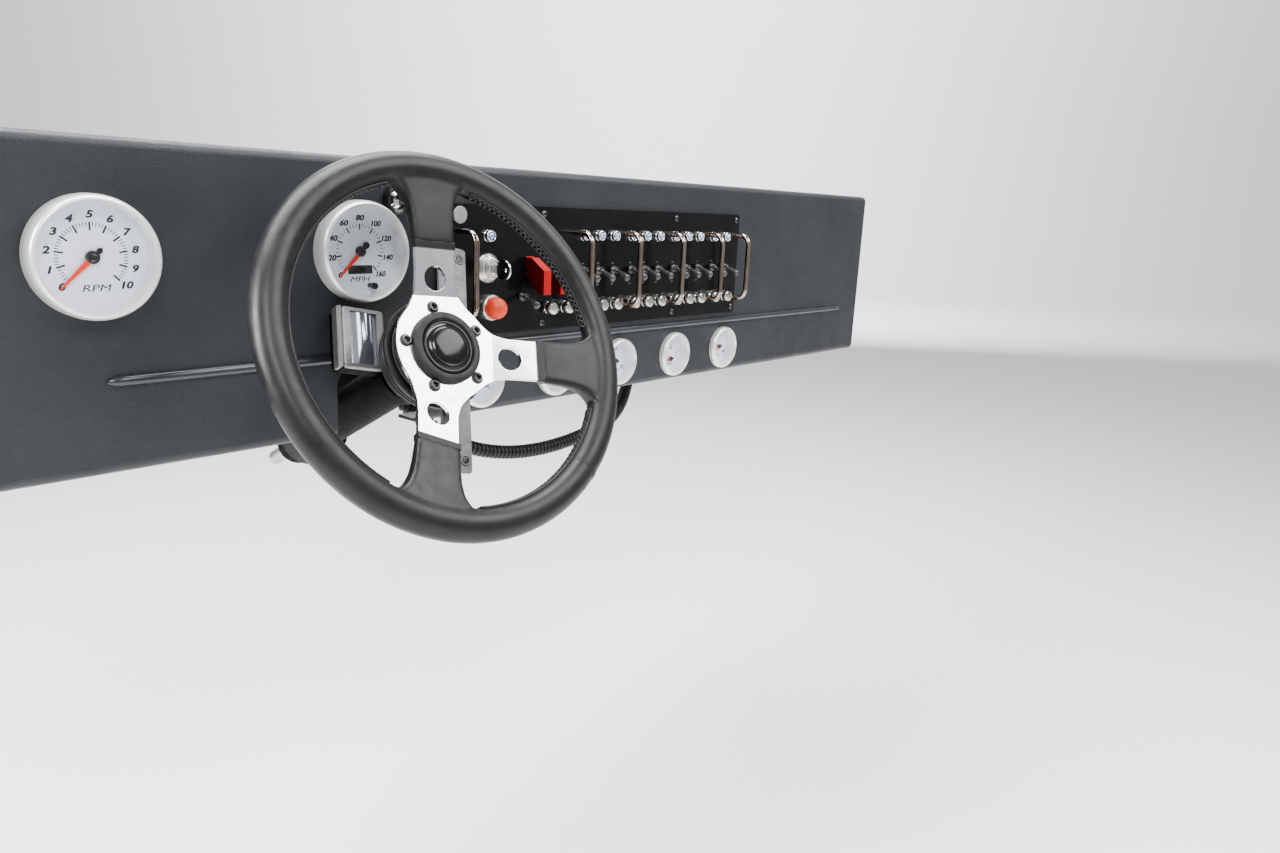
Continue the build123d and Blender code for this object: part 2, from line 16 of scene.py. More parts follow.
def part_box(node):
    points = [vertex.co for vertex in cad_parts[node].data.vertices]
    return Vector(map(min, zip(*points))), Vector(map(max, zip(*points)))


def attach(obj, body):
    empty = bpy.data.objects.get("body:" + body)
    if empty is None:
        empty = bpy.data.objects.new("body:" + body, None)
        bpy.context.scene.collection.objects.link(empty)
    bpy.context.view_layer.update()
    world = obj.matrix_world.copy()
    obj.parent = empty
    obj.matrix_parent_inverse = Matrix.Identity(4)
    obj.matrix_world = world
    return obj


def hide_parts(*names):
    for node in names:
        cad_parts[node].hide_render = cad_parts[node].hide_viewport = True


bl_info = {
    "name": "Dashboard with steering wheel",
    "version": (1, 0, 0),
    "blender": (4, 5, 0),
    "location": "3D View > Sidebar > Dashboard",
    "description": "Models the leather, dials, switches and finishes of a packed dashboard",
    "category": "Object",
}

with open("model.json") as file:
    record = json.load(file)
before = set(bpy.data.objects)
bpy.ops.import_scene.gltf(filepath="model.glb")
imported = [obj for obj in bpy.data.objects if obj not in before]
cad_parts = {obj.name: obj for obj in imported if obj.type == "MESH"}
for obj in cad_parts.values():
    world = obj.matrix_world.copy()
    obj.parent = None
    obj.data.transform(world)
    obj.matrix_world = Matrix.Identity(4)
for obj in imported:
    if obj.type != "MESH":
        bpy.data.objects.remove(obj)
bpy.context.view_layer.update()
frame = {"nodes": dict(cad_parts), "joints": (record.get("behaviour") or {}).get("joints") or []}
nodes = frame["nodes"]

MM = 0.001
steering = frame["joints"][0]
wheel_centre = Vector(steering["pos_m"])
column_axis = Vector(steering["axis"]).normalized()
column_across = Vector((0, 0, 1)).cross(column_axis).normalized()
column_up = column_axis.cross(column_across)
face_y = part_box("switch_panel")[1].y

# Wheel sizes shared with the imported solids, in millimetres.
SPOKE_ANGLES = (-15.0, 85.0, 245.0)
PLATE_FRONT, PLATE_THICK = -18.0, 4.0
CREASE_R, SPOKE_SLOPE, COVER_START_R = 47.0, 16.0, 88.3
BAR_FRONT = -29.0
RIM_R, RIM_ROUND, RIM_DEEP = 157.2, 14.3, 13.5

# Places on the dash's face, U to the right of its middle and V up, in millimetres.
TACH, SPEEDO = (-543.0, 39.7), (-320.0, 42.7)
BIG_BEZEL_R, SMALL_BEZEL_R = 45.2, 28.3
SMALL_GAUGES = [(258.4 - 108.5 * k, -91.3) for k in range(5)]
GROUP_STARTS = [218.0 - 82.4 * k for k in (4, 3, 2, 1, 0)]
SWITCH_US = [g + 25.4 * k for g in GROUP_STARTS[:4] for k in range(3)] + [218.0, 245.94]
TOGGLES = [(u, 19.5) for u in SWITCH_US] + [(SWITCH_US[0] - 10.5, -5.5)]
BREAKERS = [(u, -19.0) for u in SWITCH_US[1:]]
LIGHTS = [(u, 59.0) for u in SWITCH_US[3:]] + [(-170.0, 57.5)]
PANEL_BOLTS = [(u, v) for u in (-225.0, -92.0, 138.0, 270.0) for v in (81.0, -35.5)]
LOCK, PUSH = (-170.3, 25.0), (-167.5, -15.0)
PLATE_FACE = 3.0
BEAD_MIDDLE, BEAD_V, BEAD_HALF = 24.25, -53.2, 553.7
POD = (-35.0, 34.5, 0.0, -12.0)

# The camera stands where the photograph's did; its focal length is in pixels.
FOCAL, PICTURE_WIDTH, SENSOR = 944.0, 1280.0, 36.0
CAMERA_PLACE = (-0.81754, -0.92837, 0.09608)
YAW, PITCH, ROLL = 0.88164, 0.23097, 0.05017

FLOOR, FLOOR_SIZE, BEND_START = -0.75, 120.0, 9.0
AIR_STRENGTH = 0.55

LOOM_ROUTE = [
    (-0.222, -0.072, -0.108), (-0.190, -0.138, -0.165), (-0.100, -0.148, -0.193),
    (0.010, -0.148, -0.191), (0.110, -0.144, -0.164), (0.190, -0.072, -0.108),
]


def on_column(x=0.0, y=0.0, s=0.0, turn=0.0):
    """Where a piece drawn about Z goes on the column: across, up and along it, in mm."""
    place = Matrix((column_across, column_up, column_axis)).transposed().to_4x4()
    place.translation = wheel_centre
    return place @ Matrix.Translation(Vector((x, y, s)) * MM) @ Matrix.Rotation(radians(turn), 4, "Z")


def on_face(u, v, height=0.0, turn=0.0):
    """Where a piece drawn about Z goes on the dash's face, its Z toward the driver."""
    place = Matrix(((1, 0, 0, 0), (0, 0, -1, 0), (0, 1, 0, 0), (0, 0, 0, 1)))
    place.translation = Vector((u * MM, face_y - height * MM, v * MM))
    return place @ Matrix.Rotation(radians(turn), 4, "Z")


def on_plate(spots):
    """Where pieces go that stand on the switch plate."""
    return [on_face(u, v, PLATE_FACE) for u, v in spots]


# Working by hand, in code


def nothing_chosen():
    """Leave edit mode and deselect every object."""
    if bpy.context.object and bpy.context.object.mode != "OBJECT":
        bpy.ops.object.mode_set(mode="OBJECT")
    bpy.ops.object.select_all(action="DESELECT")


def choose(*pieces):
    """Select just these pieces, the first one active."""
    nothing_chosen()
    for piece in pieces:
        piece.select_set(True)
    bpy.context.view_layer.objects.active = pieces[0]


def open_mesh(piece, kind="VERT"):
    choose(piece)
    bpy.ops.object.mode_set(mode="EDIT")
    bpy.ops.mesh.select_mode(type=kind)


def close_mesh():
    bpy.ops.object.mode_set(mode="OBJECT")


def pick_points(test):
    """In edit mode, select the points whose place passes the test."""
    bpy.ops.mesh.select_all(action="DESELECT")
    piece = bpy.context.object
    bm = bmesh.from_edit_mesh(piece.data)
    for point in bm.verts:
        point.select = test(point.co)
    bm.select_flush(True)
    bmesh.update_edit_mesh(piece.data)


def pick_edges(test):
    """In edit mode, select the edges whose two ends pass the test."""
    bpy.ops.mesh.select_mode(type="EDGE")
    bpy.ops.mesh.select_all(action="DESELECT")
    piece = bpy.context.object
    bm = bmesh.from_edit_mesh(piece.data)
    for edge in bm.edges:
        edge.select_set(all(test(point.co) for point in edge.verts))
    bmesh.update_edit_mesh(piece.data)


def pick_faces(test):
    """In edit mode, select the faces whose middle and normal pass the test."""
    bpy.ops.mesh.select_all(action="DESELECT")
    piece = bpy.context.object
    bm = bmesh.from_edit_mesh(piece.data)
    for face in bm.faces:
        face.select_set(test(face.calc_center_median(), face.normal))
    bmesh.update_edit_mesh(piece.data)


def pull_out(move, widen=(1, 1, 1), about=(0, 0, 0)):
    """Extrude what is selected, and scale the new end about a point."""
    bpy.ops.mesh.extrude_region_move(TRANSFORM_OT_translate={"value": move})
    if tuple(widen) != (1, 1, 1):
        bpy.ops.transform.resize(value=widen, center_override=about)


def turned(name, profile, steps=48, smooth=40):
    """Make a round piece about Z: a ring pulled out and scaled from one (radius, height)
    to the next, in mm. It starts and ends on the axis, or comes back to its first ring."""
    nothing_chosen()
    rings = [(r * MM, h * MM) for r, h in profile]
    first = 1 if rings[0][0] == 0 else 0
    radius, height = rings[first]
    fill = "TRIFAN" if first else "NOTHING"
    bpy.ops.mesh.primitive_circle_add(vertices=steps, radius=radius, fill_type=fill, location=(0, 0, height))
    piece = bpy.context.object
    piece.name = name
    bpy.ops.object.transform_apply()
    open_mesh(piece)
    if first:
        pick_points(lambda co: co.xy.length < 1e-7)
        bpy.ops.transform.translate(value=(0, 0, rings[0][1] - height))
        pick_edges(lambda co: co.xy.length > 1e-7)
    else:
        bpy.ops.mesh.select_mode(type="EDGE")
        bpy.ops.mesh.select_all(action="SELECT")
    for r, h in rings[first + 1:]:
        grow = r / radius if r else 1
        pull_out((0, 0, h - height), (grow, grow, 1), (0, 0, h))
        if not r:
            bpy.ops.mesh.merge(type="CENTER")
            break
        radius, height = r, h
    bpy.ops.mesh.select_all(action="SELECT")
    bpy.ops.mesh.remove_doubles(threshold=1e-6)
    bpy.ops.mesh.normals_make_consistent(inside=False)
    close_mesh()
    bpy.ops.object.shade_smooth_by_angle(angle=radians(smooth))
    return piece


def block(name, size, rounded=0.0, place=(0, 0, 0), segments=3):
    """A box of that size in mm about a place, with its edges rounded."""
    nothing_chosen()
    bpy.ops.mesh.primitive_cube_add(size=1, location=Vector(place) * MM)
    piece = bpy.context.object
    piece.name = name
    piece.scale = Vector(size) * MM
    bpy.ops.object.transform_apply()
    if rounded:
        round_edges(piece, rounded, segments)
    return piece


def round_edges(piece, width, segments=2, angle=30.0, smooth=38.0):
    choose(piece)
    rounding = piece.modifiers.new("Rounded edges", "BEVEL")
    rounding.width = width * MM
    rounding.segments = segments
    rounding.limit_method = "ANGLE"
    rounding.angle_limit = radians(angle)
    bpy.ops.object.modifier_apply(modifier=rounding.name)
    bpy.ops.object.shade_smooth_by_angle(angle=radians(smooth))
    # The broad faces keep their own normals, so that they shade flat up to the rounding.
    flat = piece.modifiers.new("Flat faces", "WEIGHTED_NORMAL")
    flat.keep_sharp = True
    bpy.ops.object.modifier_apply(modifier=flat.name)


def softened(node, name, width, segments=2, angle=30.0, smooth=38.0):
    """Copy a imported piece, merge its loose triangles and round its sharp edges."""
    nothing_chosen()
    piece = nodes[node].copy()
    piece.data = nodes[node].data.copy()
    for key in list(piece.keys()):
        del piece[key]
    piece.parent = None
    piece.name = name
    bpy.context.scene.collection.objects.link(piece)
    open_mesh(piece)
    bpy.ops.mesh.select_all(action="SELECT")
    bpy.ops.mesh.remove_doubles(threshold=1e-6)
    bpy.ops.mesh.dissolve_limited(angle_limit=radians(0.4))
    close_mesh()
    if piece.data.has_custom_normals:
        bpy.ops.mesh.customdata_custom_splitnormals_clear()
    round_edges(piece, width, segments, angle, smooth)
    return piece


def carry(piece, place):
    """Put a piece where it goes; the place goes into its mesh."""
    piece.data.transform(place)
    return piece


def copies(piece, name, places):
    """Copies of one piece, each with its own mesh, joined as one object."""
    made = []
    for place in places:
        other = piece.copy()
        other.data = piece.data.copy()
        other.data.transform(place)
        bpy.context.scene.collection.objects.link(other)
        made.append(other)
    bpy.data.objects.remove(piece)
    return joined(name, made)


def joined(name, pieces):
    choose(*pieces)
    if len(pieces) > 1:
        bpy.ops.object.join()
    whole = bpy.context.object
    whole.name = name
    whole.data.name = name
    return whole


def hand_over(piece, body, slot, finish, *stands_for):
    """Give a finished piece its material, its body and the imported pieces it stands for."""
    if piece.type == "MESH" and len(piece.data.vertices) == 0:
        raise RuntimeError(piece.name + " came out empty")
    piece.data.materials.clear()
    piece.data.materials.append(finishes[finish])
    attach(piece, body)
    if stands_for:
        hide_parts(*stands_for)
    return piece


def dress(name, profile, places, slot, finish, *stands_for, steps=48, smooth=35, body="dash"):
    """Turn a piece, copy it to each of its places and hand the copies over as one."""
    whole = copies(turned(name, profile, steps, smooth), name, places)
    return hand_over(whole, body, slot, finish, *stands_for)


def flat_print(words, size, place, thick=0.05, slant=0.0, heavy=0.0, wide=1.0):
    """Flat generic print, such as a number on a dial, as a mesh. Sizes are in mm."""
    nothing_chosen()
    bpy.ops.object.text_add()
    letters = bpy.context.object.data
    letters.body = words
    letters.size = size * MM
    letters.align_x, letters.align_y = "CENTER", "CENTER"
    letters.extrude = thick * MM
    letters.shear = slant
    letters.offset = heavy * MM
    letters.resolution_u = 3
    bpy.ops.object.convert(target="MESH")
    return carry(bpy.context.object, place @ Matrix.Diagonal((wide, 1, 1, 1)))


def repaint(finish, *names):
    """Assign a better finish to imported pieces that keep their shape."""
    for name in names:
        nodes[name].material_slots[0].material = finishes[finish]


# Finishes

finishes = {}


def wire(tree, source, target):
    tree.links.new(source, target)


def new_group(name, inputs, outputs):
    """A shader node group with named sockets: (name, kind, default)."""
    group = bpy.data.node_groups.new(name, "ShaderNodeTree")
    for label, kind, default in inputs:
        socket = group.interface.new_socket(label, in_out="INPUT", socket_type="NodeSocket" + kind)
        if default is not None:
            socket.default_value = default
    for label, kind in outputs:
        group.interface.new_socket(label, in_out="OUTPUT", socket_type="NodeSocket" + kind)
    return group, group.nodes.new("NodeGroupInput"), group.nodes.new("NodeGroupOutput")


def noise(tree, vector, scale, detail=3.0, rough=0.5, stretch=None):
    if stretch:
        mapping = tree.nodes.new("ShaderNodeMapping")
        mapping.inputs["Scale"].default_value = stretch
        wire(tree, vector, mapping.inputs["Vector"])
        vector = mapping.outputs["Vector"]
    node = tree.nodes.new("ShaderNodeTexNoise")
    node.inputs["Detail"].default_value = detail
    node.inputs["Roughness"].default_value = rough
    wire(tree, vector, node.inputs["Vector"])
    if isinstance(scale, (int, float)):
        node.inputs["Scale"].default_value = scale
    else:
        wire(tree, scale, node.inputs["Scale"])
    return node.outputs["Fac"]


def sums(tree, kind, a, b):
    node = tree.nodes.new("ShaderNodeMath")
    node.operation = kind
    for socket, value in zip(node.inputs, (a, b)):
        if isinstance(value, (int, float)):
            socket.default_value = value
        else:
            wire(tree, value, socket)
    return node.outputs["Value"]


def ramp(tree, value, low, high, to_low=0.0, to_high=1.0):
    node = tree.nodes.new("ShaderNodeMapRange")
    for label, given in (("From Min", low), ("From Max", high), ("To Min", to_low), ("To Max", to_high)):
        if isinstance(given, (int, float)):
            node.inputs[label].default_value = given
        else:
            wire(tree, given, node.inputs[label])
    wire(tree, value, node.inputs["Value"])
    return node.outputs["Result"]


def blend_colours(tree, amount, a, b):
    node = tree.nodes.new("ShaderNodeMix")
    node.data_type = "RGBA"
    for socket, value in ((node.inputs[0], amount), (node.inputs[6], a), (node.inputs[7], b)):
        if hasattr(value, "is_linked"):
            wire(tree, value, socket)
        else:
            socket.default_value = value
    return node.outputs[2]


def make_groups():
    """The effects that several finishes share, each built once."""
    colour = (0.5, 0.5, 0.5, 1.0)
    # Uneven tone: two colours and two roughnesses mixed by soft clouds.
    g, i, o = new_group(
        "Uneven tone",
        [("Vector", "Vector", None), ("Colour", "Color", colour), ("Other colour", "Color", colour),
         ("Size", "Float", 40.0), ("Smoother", "Float", 0.3), ("Rougher", "Float", 0.5)],
        [("Colour", "Color"), ("Roughness", "Float")],
    )
    clouds = noise(g, i.outputs["Vector"], i.outputs["Size"], 5.0, 0.6)
    mask = ramp(g, clouds, 0.38, 0.62)
    wire(g, blend_colours(g, mask, i.outputs["Colour"], i.outputs["Other colour"]), o.inputs["Colour"])
    fine = noise(g, i.outputs["Vector"], sums(g, "MULTIPLY", i.outputs["Size"], 4.0), 4.0, 0.6)
    wire(g, ramp(g, fine, 0.35, 0.65, i.outputs["Smoother"], i.outputs["Rougher"]), o.inputs["Roughness"])
    # Fine grain: a close even bump, as on moulded plastic, paint or a cast surface.
    g, i, o = new_group("Fine grain", [("Vector", "Vector", None), ("Size", "Float", 800.0)],
                        [("Height", "Float")])
    wire(g, noise(g, i.outputs["Vector"], i.outputs["Size"], 2.0, 0.5), o.inputs["Height"])
    # Wrinkle: the short worm-like ridges of wrinkle paint.
    g, i, o = new_group("Wrinkle", [("Vector", "Vector", None), ("Size", "Float", 700.0)],
                        [("Height", "Float")])
    worms = noise(g, i.outputs["Vector"], i.outputs["Size"], 1.0, 0.4)
    ridge = sums(g, "ABSOLUTE", sums(g, "SUBTRACT", worms, 0.5), 0.0)
    wire(g, ramp(g, ridge, 0.0, 0.16, 1.0, 0.0), o.inputs["Height"])
    # Leather grain: small cells with creases between them, and broad soft folds. Its crease mask darkens the
    # leather's colour as painted shade.
    g, i, o = new_group(
        "Leather grain", [("Vector", "Vector", None), ("Size", "Float", 700.0)],
        [("Height", "Float"), ("Crease", "Float")],
    )
    cells = g.nodes.new("ShaderNodeTexVoronoi")
    cells.feature = "DISTANCE_TO_EDGE"
    wire(g, i.outputs["Vector"], cells.inputs["Vector"])
    wire(g, i.outputs["Size"], cells.inputs["Scale"])
    pad = ramp(g, cells.outputs["Distance"], 0.0, 0.22)
    folds = noise(g, i.outputs["Vector"], sums(g, "MULTIPLY", i.outputs["Size"], 0.12), 4.0, 0.55)
    wire(g, sums(g, "ADD", sums(g, "MULTIPLY", pad, 0.5), folds), o.inputs["Height"])
    wire(g, ramp(g, cells.outputs["Distance"], 0.0, 0.08, 1.0, 0.0), o.inputs["Crease"])
    # Hairlines: long fine scratches, as a polishing wheel or a cloth leaves.
    g, i, o = new_group(
        "Hairlines", [("Vector", "Vector", None), ("Size", "Float", 600.0)],
        [("Height", "Float"), ("Mask", "Float")]
    )
    lines = noise(g, i.outputs["Vector"], i.outputs["Size"], 3.0, 0.6, (0.04, 1.0, 1.0))
    cross = noise(g, i.outputs["Vector"], i.outputs["Size"], 3.0, 0.6, (1.0, 0.05, 1.0))
    both = sums(g, "MULTIPLY", sums(g, "ADD", lines, cross), 0.5)
    wire(g, both, o.inputs["Height"])
    wire(g, ramp(g, both, 0.42, 0.6), o.inputs["Mask"])
    # Dust: a thin pale veil in patches.
    g, i, o = new_group(
        "Dust", [("Vector", "Vector", None), ("Colour", "Color", colour),
                 ("Dust", "Color", (0.3, 0.29, 0.27, 1.0)),
                 ("Amount", "Float", 0.05)], [("Colour", "Color")],
    )
    patches = ramp(g, noise(g, i.outputs["Vector"], 35.0, 6.0, 0.65), 0.45, 0.75)
    veil = sums(g, "MULTIPLY", patches, i.outputs["Amount"])
    wire(g, blend_colours(g, veil, i.outputs["Colour"], i.outputs["Dust"]), o.inputs["Colour"])


def use_group(tree, name, vector, **values):
    node = tree.nodes.new("ShaderNodeGroup")
    node.node_tree = bpy.data.node_groups[name]
    wire(tree, vector, node.inputs["Vector"])
    for label, value in values.items():
        label = label.replace("_", " ")
        if hasattr(value, "is_linked"):
            wire(tree, value, node.inputs[label])
        else:
            node.inputs[label].default_value = value
    return node


def add_bump(tree, shader, height, depth, strength):
    """Let a height raise the surface. Depth is in mm."""
    bump = tree.nodes.new("ShaderNodeBump")
    bump.inputs["Strength"].default_value = strength
    bump.inputs["Distance"].default_value = depth * MM
    wire(tree, height, bump.inputs["Height"])
    wire(tree, bump.outputs["Normal"], shader.inputs["Normal"])


def darker(shade, k):
    return tuple(v * k for v in shade)


def make_finish(name, colour, other, size, rough, metal=0.0, bump=None, grain="Fine grain", dust=0.0,
                coat=0.0, coat_rough=0.08, shine=0.5, turn=(0, 0, 0), **more):
    """A finish from the shared effects, its two colours in patches. A grey is one number,
    and a bump is its grain's size, its depth in mm and its strength."""
    material = bpy.data.materials.new(name)
    material.use_nodes = True
    tree = material.node_tree
    tree.nodes.clear()
    out = tree.nodes.new("ShaderNodeOutputMaterial")
    shader = tree.nodes.new("ShaderNodeBsdfPrincipled")
    wire(tree, shader.outputs["BSDF"], out.inputs["Surface"])
    vector = tree.nodes.new("ShaderNodeTexCoord").outputs["Object"]
    mapping = tree.nodes.new("ShaderNodeMapping")
    mapping.inputs["Rotation"].default_value = [radians(a) for a in turn]
    wire(tree, vector, mapping.inputs["Vector"])
    vector = mapping.outputs["Vector"]
    first, second = ((*((v,) * 3 if isinstance(v, (int, float)) else v), 1.0) for v in (colour, other))
    tone = use_group(tree, "Uneven tone", vector, Colour=first, Other_colour=second, Size=size,
                     Smoother=rough[0], Rougher=rough[1])
    shade = tone.outputs["Colour"]
    if dust:
        shade = use_group(tree, "Dust", vector, Colour=shade, Amount=dust).outputs["Colour"]
    wire(tree, shade, shader.inputs["Base Color"])
    wire(tree, tone.outputs["Roughness"], shader.inputs["Roughness"])
    if bump:
        grain_size, depth, strength = bump
        height = use_group(tree, grain, vector, Size=grain_size).outputs["Height"]
        add_bump(tree, shader, height, depth, strength)
    more.update(Metallic=metal, Coat_Weight=coat, Coat_Roughness=coat_rough, Specular_IOR_Level=shine)
    for label, value in more.items():
        shader.inputs[label.replace("_", " ")].default_value = value
    finishes[name] = material
    return tree, shader, vector


def make_finishes(colours):
    """Every finish of the object, from the colours that a user may change."""
    make_finish("dash paint", colours.dash_paint, darker(colours.dash_paint, 0.8), 9.0, (0.36, 0.5), 0,
                (430.0, 0.12, 0.75), "Wrinkle", dust=0.02)
    make_finish("frame black", (0.008, 0.008, 0.0085), (0.006, 0.006, 0.0062), 60.0, (0.4, 0.55), 0,
                (900.0, 0.02, 0.6), dust=0.03, shine=0.18)
    make_finish("column black", (0.006, 0.006, 0.0063), (0.005, 0.005, 0.0052), 60.0, (0.5, 0.62), 0,
                (900.0, 0.02, 0.6), shine=0.06)
    make_finish("panel black", (0.0075, 0.0075, 0.0078), (0.005, 0.005, 0.0053), 30.0, (0.16, 0.24), 0,
                (1600.0, 0.004, 0.3), dust=0.012, shine=0.36)
    make_finish("case black", 0.011, 0.016, 50.0, (0.3, 0.45), 0, (1200.0, 0.01, 0.6), shine=0.35)
    make_finish("bezel silver", colours.bezel, darker(colours.bezel, 0.94), 45.0, (0.28, 0.34), 0.5,
                (1800.0, 0.006, 0.3))
    make_finish("dial silver", colours.dial, darker(colours.dial, 0.95), 70.0, (0.42, 0.5), 0.0,
                (2500.0, 0.004, 0.3))
    make_finish("dial ink", (0.012, 0.014, 0.04), (0.018, 0.02, 0.05), 200.0, (0.4, 0.5))
    make_finish("needle red", colours.needle, darker(colours.needle, 0.86), 120.0, (0.3, 0.4), coat=0.3)
    make_finish("hub black", 0.006, 0.011, 200.0, (0.25, 0.35), coat=0.3)
    make_finish("window dark", (0.016, 0.016, 0.014), (0.026, 0.025, 0.022), 300.0, (0.12, 0.2), coat=0.4)
    make_finish("turned steel", (0.47, 0.47, 0.48), (0.36, 0.36, 0.37), 90.0, (0.22, 0.38), 1.0,
                (900.0, 0.01, 0.4), "Hairlines", dust=0.02)
    make_finish("screw steel", (0.13, 0.13, 0.132), (0.1, 0.1, 0.102), 60.0, (0.3, 0.42), 0.9,
                (1500.0, 0.01, 0.5))
    make_finish("dark steel", (0.12, 0.12, 0.122), 0.09, 60.0, (0.22, 0.34), 0.9, (1500.0, 0.01, 0.5),
                dust=0.02)
    make_finish("bright chrome", (0.86, 0.86, 0.88), (0.8, 0.8, 0.82), 30.0, (0.05, 0.1), 1.0,
                (500.0, 0.003, 0.2))
    make_finish("guard chrome", (0.44, 0.37, 0.32), (0.34, 0.28, 0.24), 40.0, (0.07, 0.13), 1.0,
                (500.0, 0.004, 0.3), turn=(90, 0, 0))
    make_finish("knob silver", (0.74, 0.73, 0.69), (0.6, 0.59, 0.55), 60.0, (0.1, 0.2), 1.0,
                (900.0, 0.006, 0.3))
    make_finish("lock silver", (0.8, 0.79, 0.77), (0.72, 0.71, 0.69), 25.0, (0.32, 0.38), 1.0,
                (1500.0, 0.004, 0.3))
    make_finish("toggle black", (0.06, 0.06, 0.062), (0.035, 0.035, 0.037), 90.0, (0.16, 0.26), 0,
                (1500.0, 0.006, 0.6), coat=0.3, coat_rough=0.16, dust=0.03)
    make_finish("jewel blue", (0.3, 0.45, 0.85), (0.7, 0.8, 0.98), 260.0, (0.05, 0.12), 0.6, coat=1.0,
                coat_rough=0.02)
    make_finish("push red", colours.button, darker(colours.button, 0.88), 120.0, (0.36, 0.48), 0,
                (1500.0, 0.008, 0.6))
    make_finish("pod silver", (0.26, 0.26, 0.262), (0.2, 0.2, 0.202), 40.0, (0.34, 0.44), 0.6,
                (700.0, 0.008, 0.3), "Hairlines")
    make_finish("loom plastic", (0.022, 0.022, 0.023), 0.015, 90.0, (0.3, 0.42), 0, (900.0, 0.015, 0.6),
                dust=0.05, shine=0.4)
    make_finish("boot rubber", 0.012, 0.008, 90.0, (0.34, 0.5), 0, (1400.0, 0.02, 0.6), dust=0.04, shine=0.35)
    make_finish("ring rubber", (0.03, 0.03, 0.031), (0.022, 0.022, 0.023), 90.0, (0.45, 0.6), 0,
                (1600.0, 0.02, 0.6), dust=0.05, shine=0.4)
    make_finish("cap gloss", (0.006, 0.006, 0.0065), (0.009, 0.009, 0.0095), 60.0, (0.14, 0.22), coat=0.2,
                coat_rough=0.1, shine=0.4)
    make_finish("bead paint", colours.dash_paint, darker(colours.dash_paint, 0.9), 9.0, (0.22, 0.25), 0,
                (900.0, 0.01, 0.3), coat=0.5, coat_rough=0.2)
    make_finish("bar grey", (0.17, 0.17, 0.173), (0.125, 0.125, 0.128), 60.0, (0.36, 0.5), 0.7,
                (600.0, 0.01, 0.4), "Hairlines", dust=0.03)
    make_finish("plug grey", 0.42, 0.36, 90.0, (0.4, 0.5), 0.4, (1500.0, 0.01, 0.6))
    make_finish("thread black", (0.02, 0.02, 0.021), (0.05, 0.05, 0.052), 400.0, (0.24, 0.36), 0,
                (3500.0, 0.05, 0.6))
    make_finish("print pale", 0.3, 0.24, 300.0, (0.4, 0.5))
    make_finish("gauge glass", (0.3, 0.31, 0.32), (0.25, 0.26, 0.27), 12.0, (0.02, 0.05), Alpha=0.035)
    make_finish("pod smoke", (0.5, 0.52, 0.58), (0.36, 0.38, 0.43), 30.0, (0.07, 0.12), 0.85)
    mix_leather(colours.leather)
    mix_spoke_metal(colours.spoke)
    mix_covers(colours.cover)


def mix_leather(shade):
    """Worn smooth leather: fine pores, soft folds, and a shine where hands have been; the grain's creases are
    darkened as painted shade.
    """
    tree, shader, vector = make_finish("rim leather", shade, darker(shade, 1.5), 22.0, (0.3, 0.42), dust=0.01,
                                       shine=0.42)
    grain = use_group(tree, "Leather grain", vector, Size=850.0)
    add_bump(tree, shader, grain.outputs["Height"], 0.12, 0.45)
    tone = shader.inputs["Base Color"].links[0].from_socket
    # Painted shade: the leather's colour is darkened in the grain's creases.
    dark = darker(shade, 0.6) + (1.0,)
    painted_crease_shade = sums(tree, "MULTIPLY", grain.outputs["Crease"], 0.5)
    wire(tree, blend_colours(tree, painted_crease_shade, tone, dark), shader.inputs["Base Color"])


def mix_spoke_metal(shade):
    """Polished aluminium plate with fine hairlines and a few dull patches."""
    tree, shader, vector = make_finish("spoke metal", shade, darker(shade, 0.86), 26.0, (0.1, 0.2), 1.0,
                                       (420.0, 0.006, 0.35), "Hairlines", turn=(27, 0, 20))
    lines = use_group(tree, "Hairlines", vector, Size=900.0)
    smear = shader.inputs["Roughness"].links[0].from_socket
    rougher = sums(tree, "MULTIPLY", lines.outputs["Mask"], 0.06)
    wire(tree, sums(tree, "ADD", smear, rougher), shader.inputs["Roughness"])


def mix_covers(shade):
    """Red plastic with painted shade: its colour is darkened where the surface faces sideways, on the covers'
    flanks, so that only the fronts read bright.
    """
    tree, shader, vector = make_finish("cover red", shade, darker(shade, 0.97), 20.0, (0.26, 0.29), 0,
                                       (900.0, 0.003, 0.2), coat=0.3)
    # Painted shade: faces turned to the sides, the covers' flanks, are masked by their normal.
    parts = tree.nodes.new("ShaderNodeSeparateXYZ")
    wire(tree, tree.nodes.new("ShaderNodeTexCoord").outputs["Normal"], parts.inputs["Vector"])
    flank = ramp(tree, sums(tree, "ABSOLUTE", parts.outputs["X"], 0.0), 0.75, 0.95)
    tone = shader.inputs["Base Color"].links[0].from_socket
    # The painted shade's colour, a much darker red for the flanks.
    dark = darker(shade, 0.16) + (1.0,)
    wire(tree, blend_colours(tree, flank, tone, dark), shader.inputs["Base Color"])


# Sizes and colours that a user may change


def length(name, description, default, low, high):
    return FloatProperty(name=name, description=description, default=default, min=low, max=high,
                         unit="LENGTH")


class DashboardSizes(bpy.types.PropertyGroup):
    """Sizes of the pieces modelled here."""

    stitch_pitch: length("Stitch pitch", "Distance from one rim stitch to the next", 0.0052, 0.002, 0.02)
    rim_voxel: length("Leather mesh size", "Size of the leather's mesh before smoothing", 0.0018, 0.001,
                      0.005)
    ridge_pitch: length("Loom ridge pitch", "Distance between the loom's ridges", 0.0055, 0.003, 0.02)
    bezel_round: length("Bezel rounding", "How far in the gauge bezels' crests roll", 0.0038, 0.001, 0.0038)
    edge_round: length("Edge rounding", "Rounding of cut metal edges", 0.0004, 0.0001, 0.001)
    bolt_width: length("Panel bolt width", "Width of the panel's button heads", 0.008, 0.004, 0.012)
    knurl_count: IntProperty(name="Knurls", description="Flats round a breaker's knob", default=12, min=6,
                             max=24)


def colour(name, description, default):
    return FloatVectorProperty(name=name, description=description, subtype="COLOR", default=default, min=0,
                               max=1)


